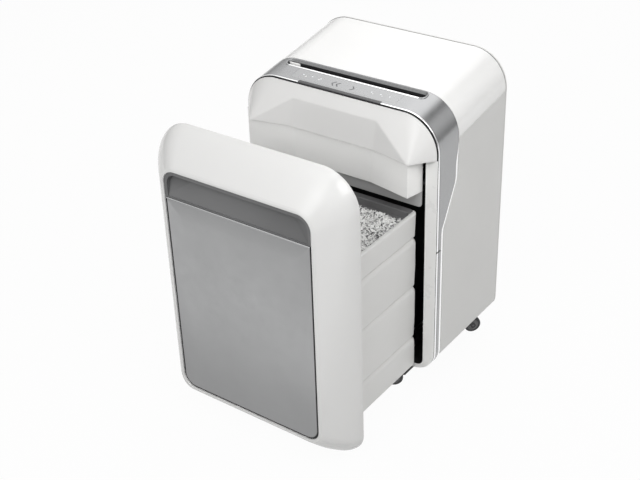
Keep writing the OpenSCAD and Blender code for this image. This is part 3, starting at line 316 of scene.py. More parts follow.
moulding("front_frame", frame_white, second=painted_shade_black, is_second=frame_joint_shade)
for side in ("right", "left"):
    moulding("side_panel_" + side, panel_white, second=painted_shade_black, is_second=bay_shade_side)
# The rear panel's inner face is painted black too, as painted shade in the bay.
moulding("rear_panel", panel_white, width=0.0009, second=painted_shade_black,
         is_second=lambda centre, normal: normal.y < -0.9 and centre.z < bay_top_z)
moulding("top_cover", casing_white)

# ---
# The head's hood and skirt. One glossy white moulding closes the front above the
# bay: it swells forward to two corners, with a shallow pocket between them for the
# hand. A grey skirt hangs below it.
half_w, front_h, corner_r, lip_z = 175.0, 483.0, 59.0, 418.0


def arch_path(inset, low_z, steps):
    """Outline of the casing's arch from low left over the top to low right, evenly spaced, as (x, z)."""
    r = corner_r - inset
    flat, arc, side = half_w - corner_r, r * math.pi / 2, front_h - corner_r - low_z
    path = []
    for i in range(steps + 1):
        way = (2 * i / steps - 1) * (flat + arc + side)
        past = abs(way) - flat
        if past < 0:
            x, z = abs(way), front_h - inset
        elif past < arc:
            x, z = flat + r * math.sin(past / r), front_h - corner_r + r * math.cos(past / r)
        else:
            x, z = half_w - inset, front_h - corner_r - (past - arc)
        path.append((math.copysign(x, way), z))
    return path


def hull_tree(points):
    solid = bmesh.new()
    for p in points:
        solid.verts.new(p)
    bmesh.ops.convex_hull(solid, input=solid.verts)
    tree = BVHTree.FromBMesh(solid)
    solid.free()
    return tree


def depth_of(tree, x, z, start, missing):
    """Where a line along Y, from the start depth, first meets a hull."""
    hit = tree.ray_cast(Vector((x, start, z)), Vector((0, -1 if start > 0 else 1, 0)))[0]
    return hit.y if hit else missing


def blurred(depth, radius):
    """Mean of a depth over a small disc, which rounds its creases."""
    taps = [(0, 0)]
    for ring in (0.5, 1.0):
        taps += [(ring * radius * math.cos(a * math.pi / 4), ring * radius * math.sin(a * math.pi / 4))
                 for a in range(8)]
    return lambda x, z: sum(depth(x + u, z + v) for u, v in taps) / len(taps)


def grid_of(solid, rows, offset):
    """Vertices of a solid in metres, at rows of points in millimetres."""
    return [[solid.verts.new((x * MM, y * MM + offset, z * MM)) for x, y, z in row] for row in rows]


def sheet_mesh(rows, offset, wall=0.0):
    """Skin over rows of points; a wall gives it thickness behind its face."""
    sheet = bmesh.new()
    made = grid_of(sheet, rows, offset)
    for a, b in zip(made, made[1:]):
        for k in range(len(a) - 1):
            sheet.faces.new((a[k], a[k + 1], b[k + 1], b[k]))
    bmesh.ops.remove_doubles(sheet, verts=sheet.verts, dist=2e-5)
    bmesh.ops.dissolve_degenerate(sheet, dist=1e-6, edges=sheet.edges)
    mesh = to_mesh(sheet)
    if not wall:
        return mesh
    return modified(
        mesh, "SOLIDIFY", thickness=wall * MM, offset=-1, use_even_offset=True, thickness_clamp=1.0)


hood_corner_x, hood_depth, hood_inset, hood_wall, hood_edge_y = 145.5, 34.0, 2.8, 2.3, 0.55
hood_columns, hood_steps = 190, 52
pocket_x, pocket_low_y, pocket_top_y, pocket_top_z, pocket_out = 76.0, 20.0, 10.3, 461.0, 76
wedge = hull_tree(
    [(x, y, z) for y in (0, 0.5) for x, z in arch_path(3, lip_z, 96)]
    + [(s * hood_corner_x, -hood_depth, lip_z) for s in (-1, 1)])
pocket = hull_tree([
    (s * x, y, z) for s in (-1, 1) for x, y, z in (
        (pocket_x, -pocket_top_y, pocket_top_z), (pocket_x, -pocket_low_y, lip_z - 1),
        (hood_corner_x + 1, -hood_depth - 1, lip_z - 1), (pocket_x, -pocket_out, pocket_top_z),
        (hood_corner_x + 1, -pocket_out, lip_z - 1))])


def hood_face(x, z):
    z = max(z, lip_z + 0.02)
    swell = depth_of(wedge, x, z, -200, 0.0)
    hollow = depth_of(pocket, x, z, 200, -200.0)
    return min(0.0, max(swell, hollow))


hood_soft = blurred(hood_face, 1.9)
hood_rows = []
for j in range(hood_steps + 1):
    share = j / hood_steps
    row = []
    for i, (ax, az) in enumerate(arch_path(hood_inset, lip_z, hood_columns)):
        lx = (2 * i / hood_columns - 1) * (half_w - hood_inset)
        x, z = lx + (ax - lx) * share, lip_z + (az - lip_z) * share
        row.append((x, hood_soft(x, z), z))
    hood_rows.append(row)
for inset, y in ((2.3, 0.05), (2.0, 0.25), (1.9, 0.5), (1.9, 0.65), (2.1, 0.72), (2.75, 0.8), (2.75, 19.5)):
    hood_rows.append([(x, y, z) for x, z in arch_path(inset, lip_z, hood_columns)])
# The hood's white is set greyer than the top cover's, as painted shade on the front of the head.
hood_white = moulded("hood_white", (0.70, 0.698, 0.692), rough=0.24, coat=0.3, mottle=0.008)
hood_mesh = sheet_mesh(hood_rows, front_y, hood_wall)
# The hood's neck behind its face is painted black, as painted shade in the groove round the hood.
pick_finish(hood_mesh, lambda centre, normal: centre.y > front_y / MM + hood_edge_y)
finish_piece(
    "head_hood_moulding", hood_mesh, [hood_white, painted_shade_black], "cabinet", ["head_hood"], 45)

# The skirt's grey is set lighter than the hood's white, as painted light against the shade under the hood.
skirt_grey = moulded("skirt_grey", (0.86, 0.86, 0.85), rough=0.42, grain=3e-5, mottle=0.012)
moulding("head_skirt", skirt_grey, width=0.0012, crease=8)

# ---
# The silver band and its lower trim wrap the head and narrow down the posts. The
# front edge is a bright chromed bead behind the white frame, a second bead follows
# the rear edge down the sides, and a smoked lens is in front. The joints beside
# the beads are painted black, as painted shade.
top_slope = math.radians(8.7)
band_front, band_t = 2.8, 2.5
bead_rows = (3.4, 8.3)
band_rear, trim_rear = 60.0, 22.0
lobe_top, lobe_low, lobe_ease = 372.0, 288.0, 0.16
trim_split_z = 262.0
edge_fade, edge_least = (388.0, 424.0), 0.12
casing_low_z, casing_low_r = 36.0, 39.0
casing_low_c = casing_low_z + casing_low_r
lens_half_w, lens_rear = 75.0, 8.6
band_silver = moulded(
    "band_silver", (0.362, 0.365, 0.369), rough=0.24, metal=0.9, grain=6e-6, grain_size=0.0003)
bead_chrome = moulded("bead_chrome", (0.95, 0.95, 0.955), rough=0.12, metal=1.0, grain=3e-6, mottle=0.01)
lens_smoke = moulded("lens_smoke", (0.035, 0.035, 0.037), rough=0.12, coat=0.4, grain=3e-6, mottle=0.1)


def lobe_share(t):
    if t <= lobe_ease:
        return t * t / (2 * lobe_ease * (1 - lobe_ease))
    if t >= 1 - lobe_ease:
        return 1 - lobe_share(1 - t)
    return (t - lobe_ease / 2) / (1 - lobe_ease)


def rear_edge(z):
    """Depth of the band's rear edge at a height on the sides."""
    t = min(1.0, max(0.0, (lobe_top - z) / (lobe_top - lobe_low)))
    return band_rear - (band_rear - trim_rear) * lobe_share(t)


def edge_share(station):
    """How far the band's edges are turned out at a station: 1 down the sides, a little over the top."""
    kind, number = station
    if kind != "side":
        return edge_least
    number = -1 - number if number < 0 else number
    t = min(1.0, max(0.0, (edge_fade[1] - number) / (edge_fade[1] - edge_fade[0])))
    return edge_least + (1 - edge_least) * t * t * (3 - 2 * t)


def arch_stations(low_z, high_z=None):
    """Stations round the casing, as (kind, number): heights up the side, corner angles, places on top."""
    arc_z = front_h - corner_r
    high_z = high_z or arc_z
    side = []
    if low_z < casing_low_c:
        a0 = math.asin((casing_low_c - low_z) / casing_low_r)
        side = [("side", casing_low_c - casing_low_r * math.sin(a0 * (1 - k / 18))) for k in range(18)]
        low_z = casing_low_c
    side += [("side", low_z + (high_z - low_z) * k / 60) for k in range(61)]
    if high_z < arc_z:
        return side
    arc = [("arc", math.pi / 2 * k / 24) for k in range(1, 25)]
    top = [("top", (half_w - corner_r) * (k / 16 - 1)) for k in range(1, 32)]
    return side + arc + top + [(kind, -1 - n) for kind, n in reversed(side + arc)]


def station_point(station, inset, depth):
    """Point of the casing's skin at a station; the depth may run from the rear edge forwards."""
    kind, number = station
    mirror = kind != "top" and number < 0
    number = -1 - number if mirror else number
    rear = rear_edge(number) if kind == "side" else band_rear
    share = edge_share((kind, number))
    if depth < 0:
        y = rear + depth * share
    elif bead_rows[0] < depth < bead_rows[1]:
        y = bead_rows[0] + (depth - bead_rows[0]) * (0.5 + 0.5 * share)
    else:
        y = min(depth, rear)
    lift = y * math.tan(top_slope)
    arc_z = front_h - corner_r
    if kind == "side":
        x, z = -half_w + inset, number
        if number <= casing_low_c:
            drop = casing_low_c - number
            a = math.atan2(drop, math.sqrt(max(0.0, casing_low_r ** 2 - drop ** 2)))
            x = -half_w + casing_low_r - (casing_low_r - inset) * math.cos(a)
            z = casing_low_c - (casing_low_r - inset) * math.sin(a)
    elif kind == "arc":
        r = corner_r - inset
        x, z = -half_w + corner_r - r * math.cos(number), arc_z + lift + r * math.sin(number)
    else:
        x, z = number, front_h + lift - inset
    return (-x if mirror else x, y, z)


band_profile = [
    (band_t, band_front), (1.3, band_front), (0.5, 3.0), (0.15, 3.4), (0.0, 4.0), (0.0, 6.2), (0.15, 6.8),
    (0.45, 7.1), (0.45, 7.8), (0.05, 8.2), (0.05, lens_rear), (0.05, 12.0), (0.05, -7.2),
    (0.05, -6.8), (0.3, -6.45), (0.9, -6.3), (band_t, -6.3)]
chrome_rows, rear_rows = 7, 13


def band_part(stations):
    """The profile carried along stations, with its finishes: 0 silver, 1 chrome, 2 black painted shade in the
    joints.
    """
    rows = [[station_point(s, inset, depth) for s in stations] for inset, depth in band_profile]
    # Black rows: the joint with the hood, the step behind the chrome bead and the rear edge, as painted
    # shade.
    finishes = [1 if 1 < j < chrome_rows else 2 if j <= chrome_rows or j >= rear_rows else 0
                for j in range(len(rows) - 1)] + [0]
    skin = bmesh.new()
    made = grid_of(skin, rows, front_y)
    for a, b, finish in zip(made, made[1:] + made[:1], finishes):
        for k in range(len(stations) - 1):
            skin.faces.new((a[k], a[k + 1], b[k + 1], b[k])).material_index = finish
    for k in (0, -1):
        skin.faces.new([row[k] for row in made])
    bmesh.ops.recalc_face_normals(skin, faces=skin.faces)
    return skin


def tilted(x, v, n):
    """Point on the sloping top: across, up the slope from the front edge, and out of the surface."""
    return (x, v * math.cos(top_slope) - n * math.sin(top_slope),
            front_h + v * math.sin(top_slope) + n * math.cos(top_slope))


def rounded_ring(hw, z0, z1, top_r, low_r, corner_steps=14, side_steps=6):
    """Closed outline in XZ, from the middle of the right side upwards, as (x, z)."""
    ring = []
    for turn, (start, end, centre, r) in enumerate((
            ((hw, z0 + low_r), (hw, z1 - top_r), (hw - top_r, z1 - top_r), top_r),
            ((hw - top_r, z1), (-hw + top_r, z1), (-hw + top_r, z1 - top_r), top_r),
            ((-hw, z1 - top_r), (-hw, z0 + low_r), (-hw + low_r, z0 + low_r), low_r),
            ((-hw + low_r, z0), (hw - low_r, z0), (hw - low_r, z0 + low_r), low_r))):
        for share in (k / side_steps for k in range(side_steps)):
            ring.append(tuple(a + (b - a) * share for a, b in zip(start, end)))
        for angle in (math.radians(90 * turn + 90 * k / corner_steps) for k in range(corner_steps)):
            ring.append((centre[0] + r * math.cos(angle), centre[1] + r * math.sin(angle)))
    return ring


def loft(skin, rings, offset, loop=False, cap=False):
    """Skin over closed rings of points; loop joins the last ring to the first."""
    made = grid_of(skin, rings, offset)
    count = len(rings[0])
    for a, b in list(zip(made, made[1:])) + ([(made[-1], made[0])] if loop else []):
        for k in range(count):
            skin.faces.new((a[k], a[(k + 1) % count], b[(k + 1) % count], b[k]))
    if cap:
        skin.faces.new(reversed(made[0]))
        skin.faces.new(made[-1])
    bmesh.ops.recalc_face_normals(skin, faces=skin.faces)


def lofted(rings, offset, loop=False, cap=True):
    skin = bmesh.new()
    loft(skin, rings, offset, loop, cap)
    return to_mesh(skin)


def cut_away(mesh, cutter_mesh, materials=(), crossing=False):
    """The mesh less a closed cutter, by an exact Boolean."""
    for material in materials:
        mesh.materials.append(material)
        cutter_mesh.materials.append(materials[0])
    cutter = new_object("cutter", cutter_mesh)
    mesh = modified(mesh, "BOOLEAN", operation="DIFFERENCE", solver="EXACT", use_self=crossing, object=cutter)
    bpy.data.objects.remove(cutter)
    return mesh


slot_v, slot_half_v = 48.56, 11.0
slot_hw = 127.0
overlay_x, overlay_v0, overlay_v1, overlay_t = 95.0, 12.0, 36.56, 0.6


def slot_ring(x_in, front_in, rear_in, r, n):
    """Ring in the tilted frame, moved in from the bezel's edge at its ends, its front and its rear."""
    plan = rounded_ring(
        slot_hw - x_in, slot_v - slot_half_v + front_in, slot_v + slot_half_v - rear_in, r, r, 8, 3)
    return [tilted(x, v, n) for x, v in plan]


split_gap = 1.2
band = band_part(arch_stations(trim_split_z + split_gap))
for s in (-1, 1):
    bmesh.ops.bisect_plane(
        band, geom=band.verts[:] + band.edges[:] + band.faces[:], plane_co=(s * lens_half_w * MM, 0, 0),
        plane_no=(1, 0, 0))
for f in band.faces:
    centre = f.calc_center_median() / MM
    if abs(centre.x) < lens_half_w and centre.z > 480 and centre.y - front_y / MM < lens_rear:
        f.material_index = 3
slot_cutter = lofted([slot_ring(0, 0, 0, 9, n) for n in (-8, 3)], front_y)
band = cut_away(to_mesh(band), slot_cutter, [band_silver, bead_chrome, painted_shade_black, lens_smoke])
film_plan = rounded_ring(overlay_x, overlay_v0, overlay_v1, 2.0, 2.0, 4, 2)
band = cut_away(
    band, lofted([[tilted(x, v, n) for x, v in film_plan] for n in (-overlay_t - 0.05, 2)], front_y))
finish_piece("silver_band_moulding", band, [], "cabinet", ["silver_band"], 38)

trims = bmesh.new()
trim_stations = arch_stations(casing_low_z + 0.1, trim_split_z - split_gap)
for stations in (trim_stations, [(kind, -1 - number) for kind, number in trim_stations]):
    trims.from_mesh(to_mesh(band_part(stations)))
bmesh.ops.recalc_face_normals(trims, faces=trims.faces)
finish_piece("lower_trim_moulding", to_mesh(trims), [band_silver, bead_chrome, painted_shade_black],
             "cabinet", ["lower_trim"], 38)


def geometry_tree(name, **inputs):
    """Geometry Nodes tree with named inputs: the tree, its input sockets and their identifiers."""
    tree = bpy.data.node_groups.new(name, "GeometryNodeTree")
    keys = {}
    for label, kind in (("Geometry", "Geometry"), *inputs.items(), ("Finish", "Material")):
        keys[label.replace("_", " ")] = tree.interface.new_socket(
            label.replace("_", " "), in_out="INPUT", socket_type="NodeSocket" + kind).identifier
    tree.interface.new_socket("Geometry", in_out="OUTPUT", socket_type="NodeSocketGeometry")
    return tree, tree.nodes.new("NodeGroupInput").outputs, keys


def end_tree(tree, geometry, finish):
    """Realize Instances and Set Material close every tree."""
    real = add_node(tree, "RealizeInstances", {0: geometry})
    coated = add_node(tree, "SetMaterial", {"Geometry": real, "Material": finish})
    add_node(tree, "NodeGroupOutput", {0: coated})


def grown(mesh, tree, keys, **values):
    """Mesh that a tree makes from a mesh, with its named inputs set."""
    return modified(mesh, "NODES", node_group=tree,
                    **{keys[label.replace("_", " ")]: value for label, value in values.items()})


def swept_lines(paths, shares, radius, sides, finish):
    """Round bars along paths of points in millimetres; a share at each point scales the radius."""
    lines = bmesh.new()
    for row in grid_of(lines, paths, front_y):
        for pair in zip(row, row[1:]):
            lines.edges.new(pair)
    mesh = to_mesh(lines)
    mesh.attributes.new("share", "FLOAT", "POINT").data.foreach_set("value", shares)
    return grown(mesh, bead_tree, bead_keys, Radius=radius * MM, Sides=sides, Finish=finish)


bead_tree, bead_in, bead_keys = geometry_tree("bead_along_edge", Radius="Float", Sides="Int")
to_curve = add_node(bead_tree, "MeshToCurve", {"Mesh": bead_in["Geometry"]})
section = add_node(bead_tree, "CurvePrimitiveCircle", {
    "Radius": bead_in["Radius"], "Resolution": bead_in["Sides"]})
width_share = add_node(bead_tree, "InputNamedAttribute", {"Name": "share"}, data_type="FLOAT")
sweep = add_node(bead_tree, "CurveToMesh", {
    "Curve": to_curve, "Profile Curve": section, "Scale": width_share, "Fill Caps": True})
end_tree(bead_tree, sweep, bead_in["Finish"])
# The rear bead lies half sunk in the side panels and thins out towards the corners
edge_r, edge_low_z, edge_sink = 3.1, 64, -3.0
edge_heights = [edge_low_z + (edge_fade[1] - edge_low_z) * k / 120 for k in range(121)]
edge_paths = [
    [station_point(("side", z if s > 0 else -1 - z), edge_r * edge_share(("side", z)), edge_sink)
     for z in edge_heights] for s in (-1, 1)]
edge_shares = [edge_share(("side", z)) for z in edge_heights] * 2
finish_piece("panel_edge_bead", swept_lines(edge_paths, edge_shares, edge_r, 16, bead_chrome), [], "cabinet")
# A fine raised line down each post beside the opening
line_x, line_y, line_low_z, line_len, line_r = 156.4, 0.5, 76, 341, 0.9
line_paths = [[(s * line_x, line_y, line_low_z + line_len * k / 12) for k in range(13)] for s in (-1, 1)]
finish_piece("post_lines", swept_lines(line_paths, [1.0] * 26, line_r, 12, frame_white), [], "cabinet")

# ---
# The touch strip. A film on the band with a double and a single arrow and four
# dots, lit from a small board below it, a little smoother than the band.
film_silver = moulded(
    "film_silver", (0.376, 0.379, 0.383), rough=0.28, metal=0.85, grain=4e-7, mottle=0.012)
film_rings = [
    [tilted(x, v, n) for x, v in rounded_ring(
        overlay_x - inset, overlay_v0 + inset, overlay_v1 - inset, 1.8, 1.8, 4, 2)]
    for inset, n in ((0.15, -overlay_t), (0.15, -0.12), (0.25, -0.02))]
finish_piece("control_overlay_film", lofted(film_rings, front_y), [film_silver], "cabinet",
             ["control_overlay"], 30)
mark_light = moulded("mark_light", (0.74, 0.74, 0.74), rough=0.35)
mark_dark = moulded("mark_dark", (0.09, 0.09, 0.095), rough=0.35, mottle=0.05)


def print_on_film(name, outlines, ink):
    """Thin prints on the film, each a closed outline of (x, v) points."""
    prints = bmesh.new()
    for outline in outlines:
        loft(prints, [[tilted(x, v, n) for x, v in outline] for n in (-0.03, 0.03)], front_y, cap=True)
    finish_piece(name, to_mesh(prints), [ink], "cabinet")


def chevron(x, wide):
    """An arrow head that points to +X when wide is positive."""
    v, a, b, stroke = marks_v, wide / 2, 5.5, math.copysign(2.4, wide)
    return [(x - a, v - b), (x - a + stroke, v - b), (x + a, v), (x - a + stroke, v + b), (x - a, v + b),
            (x + a - stroke, v)]


def dot(x, r):
    return [(x + r * math.cos(math.pi * k / 8), marks_v + r * math.sin(math.pi * k / 8)) for k in range(16)]


marks_v = 21
arrows = [chevron(x, wide) for x, wide in ((-21, -7), (-13, -7), (14, 7))]
dots = [dot(x, r) for x, r in ((-72, 1.5), (-48, 1.5), (50, 1.0), (66, 1.0))]
print_on_film("touch_arrows", arrows, mark_dark)
print_on_film("touch_dots", dots, mark_light)
board_green = moulded("board_green", (0.02, 0.12, 0.05), rough=0.4, mottle=0.15)
light_lens = moulded("light_lens", (0.75, 0.78, 0.8), rough=0.25)

# ---
# The paper entry. A round-ended silver bezel with a bright front lip; a satin
# slope behind the throat leads the paper down between two black guides, and a
# white sprung flap feels it.
slope_silver = moulded("slope_silver", (0.20, 0.202, 0.204), rough=0.32, metal=0.8, grain=6e-6)
throat_black_and_shade = moulded("throat_black_and_shade", (0.012, 0.012, 0.013), rough=0.4, mottle=0.1)
flap_white = moulded("flap_white", (0.85, 0.85, 0.84), mottle=0.01)
# Insets at the ends, the front and the rear, corner radius, and height, ring by ring
bezel_rings = [
    (0.1, 0.1, 0.1, 9.0, -1.4), (0.1, 0.1, 0.1, 9.0, 0.1), (0.3, 0.3, 0.3, 8.8, 0.38),
    (0.9, 0.9, 0.8, 8.4, 0.45), (1.35, 2.7, 1.1, 8.0, 0.38), (1.5, 3.0, 1.25, 7.8, 0.1),
    (1.7, 3.1, 1.5, 7.6, -0.2), (2.0, 3.15, 2.9, 7.2, -0.75), (2.05, 3.15, 3.2, 7.2, -0.95),
    (2.3, 3.2, 4.7, 6.8, -1.5), (2.35, 3.2, 5.0, 6.8, -1.7), (2.6, 3.25, 6.3, 6.2, -2.2),
    (2.8, 3.3, 6.6, 6.0, -3.2), (4.1, 3.4, 7.0, 5.6, -4.4), (5.2, 3.5, 7.6, 5.2, -5.9),
    (4.0, 2.6, 6.4, 6.2, -5.9), (0.6, 0.6, 0.6, 8.4, -1.5)]
lip_rings, slope_rings = 5, (5, 6, 8, 10)
bezel_mesh = lofted([slot_ring(*ring) for ring in bezel_rings], front_y, loop=True, cap=False)
ring_faces = len(slot_ring(*bezel_rings[0]))
# The bezel's faces that run down into the throat, apart from the satin slope at the rear, are painted black:
# painted shade in the slot. The guides are black.
for index, face in enumerate(bezel_mesh.polygons):
    ring = index // ring_faces
    v = (face.center.y - front_y) / MM / math.cos(top_slope)
    if ring < lip_rings:
        face.material_index = 1 if v < slot_v - 7.5 and abs(face.center.x) / MM < slot_hw - 9 else 0
    else:
        face.material_index = 2 if v > slot_v - 4 and ring in slope_rings else 3
finish_piece("slot_bezel_moulding", bezel_mesh, [band_silver, bead_chrome, slope_silver, throat_black_and_shade],
             "cabinet", ["slot_bezel"], 35)
for node in ("throat_guide_front", "throat_guide_rear"):
    moulding(node, throat_black_and_shade, width=0.0003)
moulding("paper_sensor_flap", flap_white, "sensor_flap", width=0.0003)
paddle_x, paddle_y = -112, 47.2
paddle_rings = [
    [(paddle_x + x, paddle_y + y, z) for x, y in rounded_ring(
        9.5 - inset, -1.3 + inset, 1.3 - inset, 1.0 - inset, 1.0 - inset, 4, 2)]
    for inset, z in ((0.5, 470.0), (0.1, 470.5), (0, 471), (0, 489.2), (0.2, 489.7), (0.6, 490.0))]
finish_piece("paper_sensor_paddle", lofted(paddle_rings, front_y), [flap_white], "sensor_flap")

# ---
# The bin's front. One large glossy white moulding, hollow behind, that narrows
# in a smooth curve to a thin lip round the silver panel.
face_d, drawer_z, rim_w = 52.0, 10.0, 4.0
seat_x, seat_low, seat_high, seat_r = 130.5, 48.4, 430.5, 22.0


def face_ring(t, inset):
    """Section of the bin's front: t runs from its back edge, 0, to its lip, 1."""
    share = t ** 1.6
    return rounded_ring(
        half_w - share * (half_w - seat_x - rim_w) - inset,
        drawer_z + share * (seat_low - rim_w - drawer_z) + inset,
        front_h - share * (front_h - seat_high - rim_w) - inset,
        59 - share * 29 - inset, 39 - share * 17 - inset)


def seat_ring(inset):
    return rounded_ring(seat_x - inset, seat_low + inset, seat_high - inset, seat_r - inset, seat_r - inset)


def mixed(first, second, share):
    return [(a[0] + (b[0] - a[0]) * share, a[1] + (b[1] - a[1]) * share) for a, b in zip(first, second)]


rim_ring = face_ring(1, 0)
front_rings = [(face_ring(0, 0.5), 0.0), (face_ring(0, 0), -0.5)]
front_rings += [(face_ring(k / 26, 0), -face_d * k / 26) for k in range(1, 26)]
front_rings += [
    (face_ring(0.975, 0), -50.7), (face_ring(0.98, 0.35), -50.9), (face_ring(0.99, 0.1), -51.2),
    (face_ring(0.995, 0.25), -51.6), (mixed(rim_ring, seat_ring(0), 0.25), -51.93),
    (mixed(rim_ring, seat_ring(0), 0.45), -52.0), (mixed(rim_ring, seat_ring(0), 0.8), -52.0),
    (mixed(rim_ring, seat_ring(0), 0.95), -51.9), (seat_ring(0), -51.6), (seat_ring(0), -49.0),
    (seat_ring(4.5), -49.0), (seat_ring(4.5), -47.0)]
front_rings += [(face_ring(t, 3), -t * (face_d - 5)) for t in (1, 0.85, 0.7, 0.5, 0.3, 0.15, 0)]
front_rings += [(face_ring(0, 2.5), 0.0)]
front_mesh = lofted([[(x, y, z) for x, z in ring] for ring, y in front_rings], drawer_y, loop=True, cap=False)
# Room for the swivelling front wheels is cut out of the chin
chin_r, chin_x, chin_y, chin_high = 30.0 * MM, 122.0 * MM, drawer_y - 6.5 * MM, 35.0 * MM
cutter = bmesh.new()
for x in (-chin_x, chin_x):
    bmesh.ops.create_cone(
        cutter, cap_ends=True, segments=64, radius1=chin_r, radius2=chin_r, depth=2 * chin_high,
        matrix=Matrix.Translation((x, chin_y, 0)))
    bmesh.ops.create_cube(
        cutter, size=1, matrix=Matrix.Translation((x, chin_y + 10 * MM, 0))
        @ Matrix.Diagonal((2 * chin_r, 20 * MM, 2 * (chin_high - 0.01 * MM), 1)))
front_mesh = cut_away(front_mesh, to_mesh(cutter), crossing=True)
shade_floor_y = (drawer_y / MM - 49.2, drawer_y / MM - 48.9)


def seat_joint_shade(centre, normal):
    """The floor of the panel's seat, painted black as painted shade in the gap round the panel."""
    seated = abs(centre.x) < seat_x and seat_low < centre.z < seat_high
    return seated and abs(normal.y) > 0.995 and shade_floor_y[0] < centre.y < shade_floor_y[1]


pick_finish(front_mesh, seat_joint_shade)
# The bin front's white is set greyer than the top cover's, as painted shade on the front.
front_gloss = moulded("front_gloss", (0.66, 0.66, 0.655), rough=0.2, coat=0.35, coat_rough=0.06, mottle=0.008)
finish_piece("drawer_front_moulding", front_mesh, [front_gloss, painted_shade_black], "drawer", ["drawer_front"],
             50)

# ---
# The silver panel, its chrome strip and the finger recess. The panel is pressed
# from satin aluminium with a bevelled edge; the recess behind the lip is dark.
panel_silver = moulded("panel_silver", (0.335, 0.337, 0.34), rough=0.34, metal=0.85, grain=5e-6,
                       grain_size=0.0003, mottle=0.03)
recess_dark = moulded("recess_dark", (0.098, 0.099, 0.101), rough=0.35, mottle=0.06, coat=0.2)
panel_top, panel_gap = 384.5, 3.4
panel_steps = (
    (0, -49.1), (0, -50.2), (0.2, -50.55), (1.1, -51.15), (1.5, -51.25), (30, -51.25), (80, -51.25))
panel_rings = [
    [(x, y, z) for x, z in rounded_ring(
        seat_x - panel_gap - inset, seat_low + panel_gap + inset, panel_top - max(0.0, inset - 0.1),
        max(0.4, 1.2 - inset * 0.3), max(1.0, seat_r - panel_gap - inset))] for inset, y in panel_steps]
finish_piece("drawer_panel_sheet", lofted(panel_rings, drawer_y), [panel_silver], "drawer", ["drawer_panel"],
             30)
strip_chrome = moulded("strip_chrome", (0.52, 0.522, 0.526), rough=0.14, metal=1.0, grain=3e-6, mottle=0.01)
moulding("panel_trim", strip_chrome, "drawer", width=0.0004)
moulding("handle_recess", recess_dark, "drawer", width=0.001)
moulding("drawer_liner", skirt_grey, "drawer")

# ---
# The bin. A white tub with soft swellings between three grooves, moulded in one
# piece, that stands on the runners and holds the shredded paper.
tub_hw, tub_d, tub_low, tub_high = 145.0, 194.0, 48.0, 328.0
tub_grooves = (106.0, 200.0, 287.0)
tub_white = moulded("tub_white", (0.70, 0.70, 0.69), rough=0.36, grain=3e-5, mottle=0.01)


def groove_depth(z):
    """A long soft shoulder below each groove, a short one above it, and a slight lean of each swelling."""
    deep = 0.0
    for g in tub_grooves:
        below, above = (g - 0.8 - z) / 11.0, (z - g + 0.8) / 3.0
        if 0 <= below < 1:
            deep = max(deep, 4 * (1 - below) ** 1.7)
        elif 0 <= above < 1:
            deep = max(deep, 4 - 3.1 * (1 - (1 - above) ** 2))
        elif above >= 1:
            deep = max(deep, 0.9 * max(0.0, 1 - (z - g - 2.2) / 34))
    return deep


def tub_ring(z, inset, rear_r=9.0, front_r=3.0):
    hw, y0, y1 = tub_hw - inset, max(0.0, inset - 4), tub_d - inset
    return [(x, y, z) for x, y in rounded_ring(hw, y0, y1, rear_r, front_r, 10, 3)]


heights = []
z = tub_low + 3.5
while z < tub_high - 2:
    heights.append(z)
    near = min(abs(z - g) for g in tub_grooves)
    z += 0.6 if near < 5 else (1.4 if near < 14 else 5)
# Height, inset, rear and front corner radius: the foot, the walls, and the rim that turns inwards
tub_foot = ((0, 4.5, 7), (0.4, 2.6, 8), (1.4, 1.0), (2.6, 0.3))
tub_rim = ((-1.2, 0), (-0.35, 0.35), (0, 1.1), (0, 6.4, 7), (-0.4, 7.2, 6.5), (-1.4, 7.6, 6))
tub_rings = [tub_ring(tub_low + up, *rest) for up, *rest in tub_foot]
tub_rings += [tub_ring(z, groove_depth(z)) for z in heights]
tub_rings += [tub_ring(tub_high + up, *rest) for up, *rest in tub_rim]
tub_rings += [tub_ring(tub_low + 6, 7.6, 6), tub_ring(tub_low + 3, 10, 4)]
finish_piece("bin_tub_moulding", lofted(tub_rings, drawer_y), [tub_white], "drawer", ["bin_tub"],
             50)

# A grey guard over the rear rim, with a ledge inside that stops the paper; its dark grey is painted shade,
# where the rear of the tub lies in the shadow of the head
guard_shade_grey = moulded("guard_shade_grey", (0.13, 0.13, 0.132), rough=0.5, mottle=0.06)
guard_hw = 138.5
# Front and rear depth, inset at the ends, and height, ring by ring
guard_rings = [
    [(x, y, z) for x, y in rounded_ring(guard_hw - inset, y0, y1, 5.0, 1.5, 6, 3)] for y0, y1, inset, z in (
        (170.5, 184.0, 4.0, 290.0), (170, 184.5, 3.6, 290.5), (170, 184.5, 3.6, 318.0),
        (171.0, 184.5, 3.6, 319.2), (178.0, 184.5, 3.6, 319.6), (181.0, 184.6, 3.6, 328.1),
        (181.4, 192.8, 0.2, 328.15), (181.6, 193.0, 0, 328.6), (182.2, 192.4, 0.6, 329.2))]
finish_piece("bin_rear_shade_guard", lofted(guard_rings, drawer_y), [guard_shade_grey], "drawer", (), 30)

# A grey baffle below the head keeps the paper out of the bay behind the bin
baffle_rings = [
    [(x, y, z) for x, z in rounded_ring(148 - inset, 333 + inset, 360.8, 1.0, 6.0 - inset, 6, 4)]
    for inset, y in ((0.6, 1.2), (0.2, 1.35), (0, 1.7), (0, 3.0), (0.4, 3.4))]
baffle_grey = moulded("baffle_grey", (0.50, 0.50, 0.50), rough=0.5, mottle=0.04)
finish_piece("bay_baffle", lofted(baffle_rings, front_y), [baffle_grey], "cabinet", (), 30)

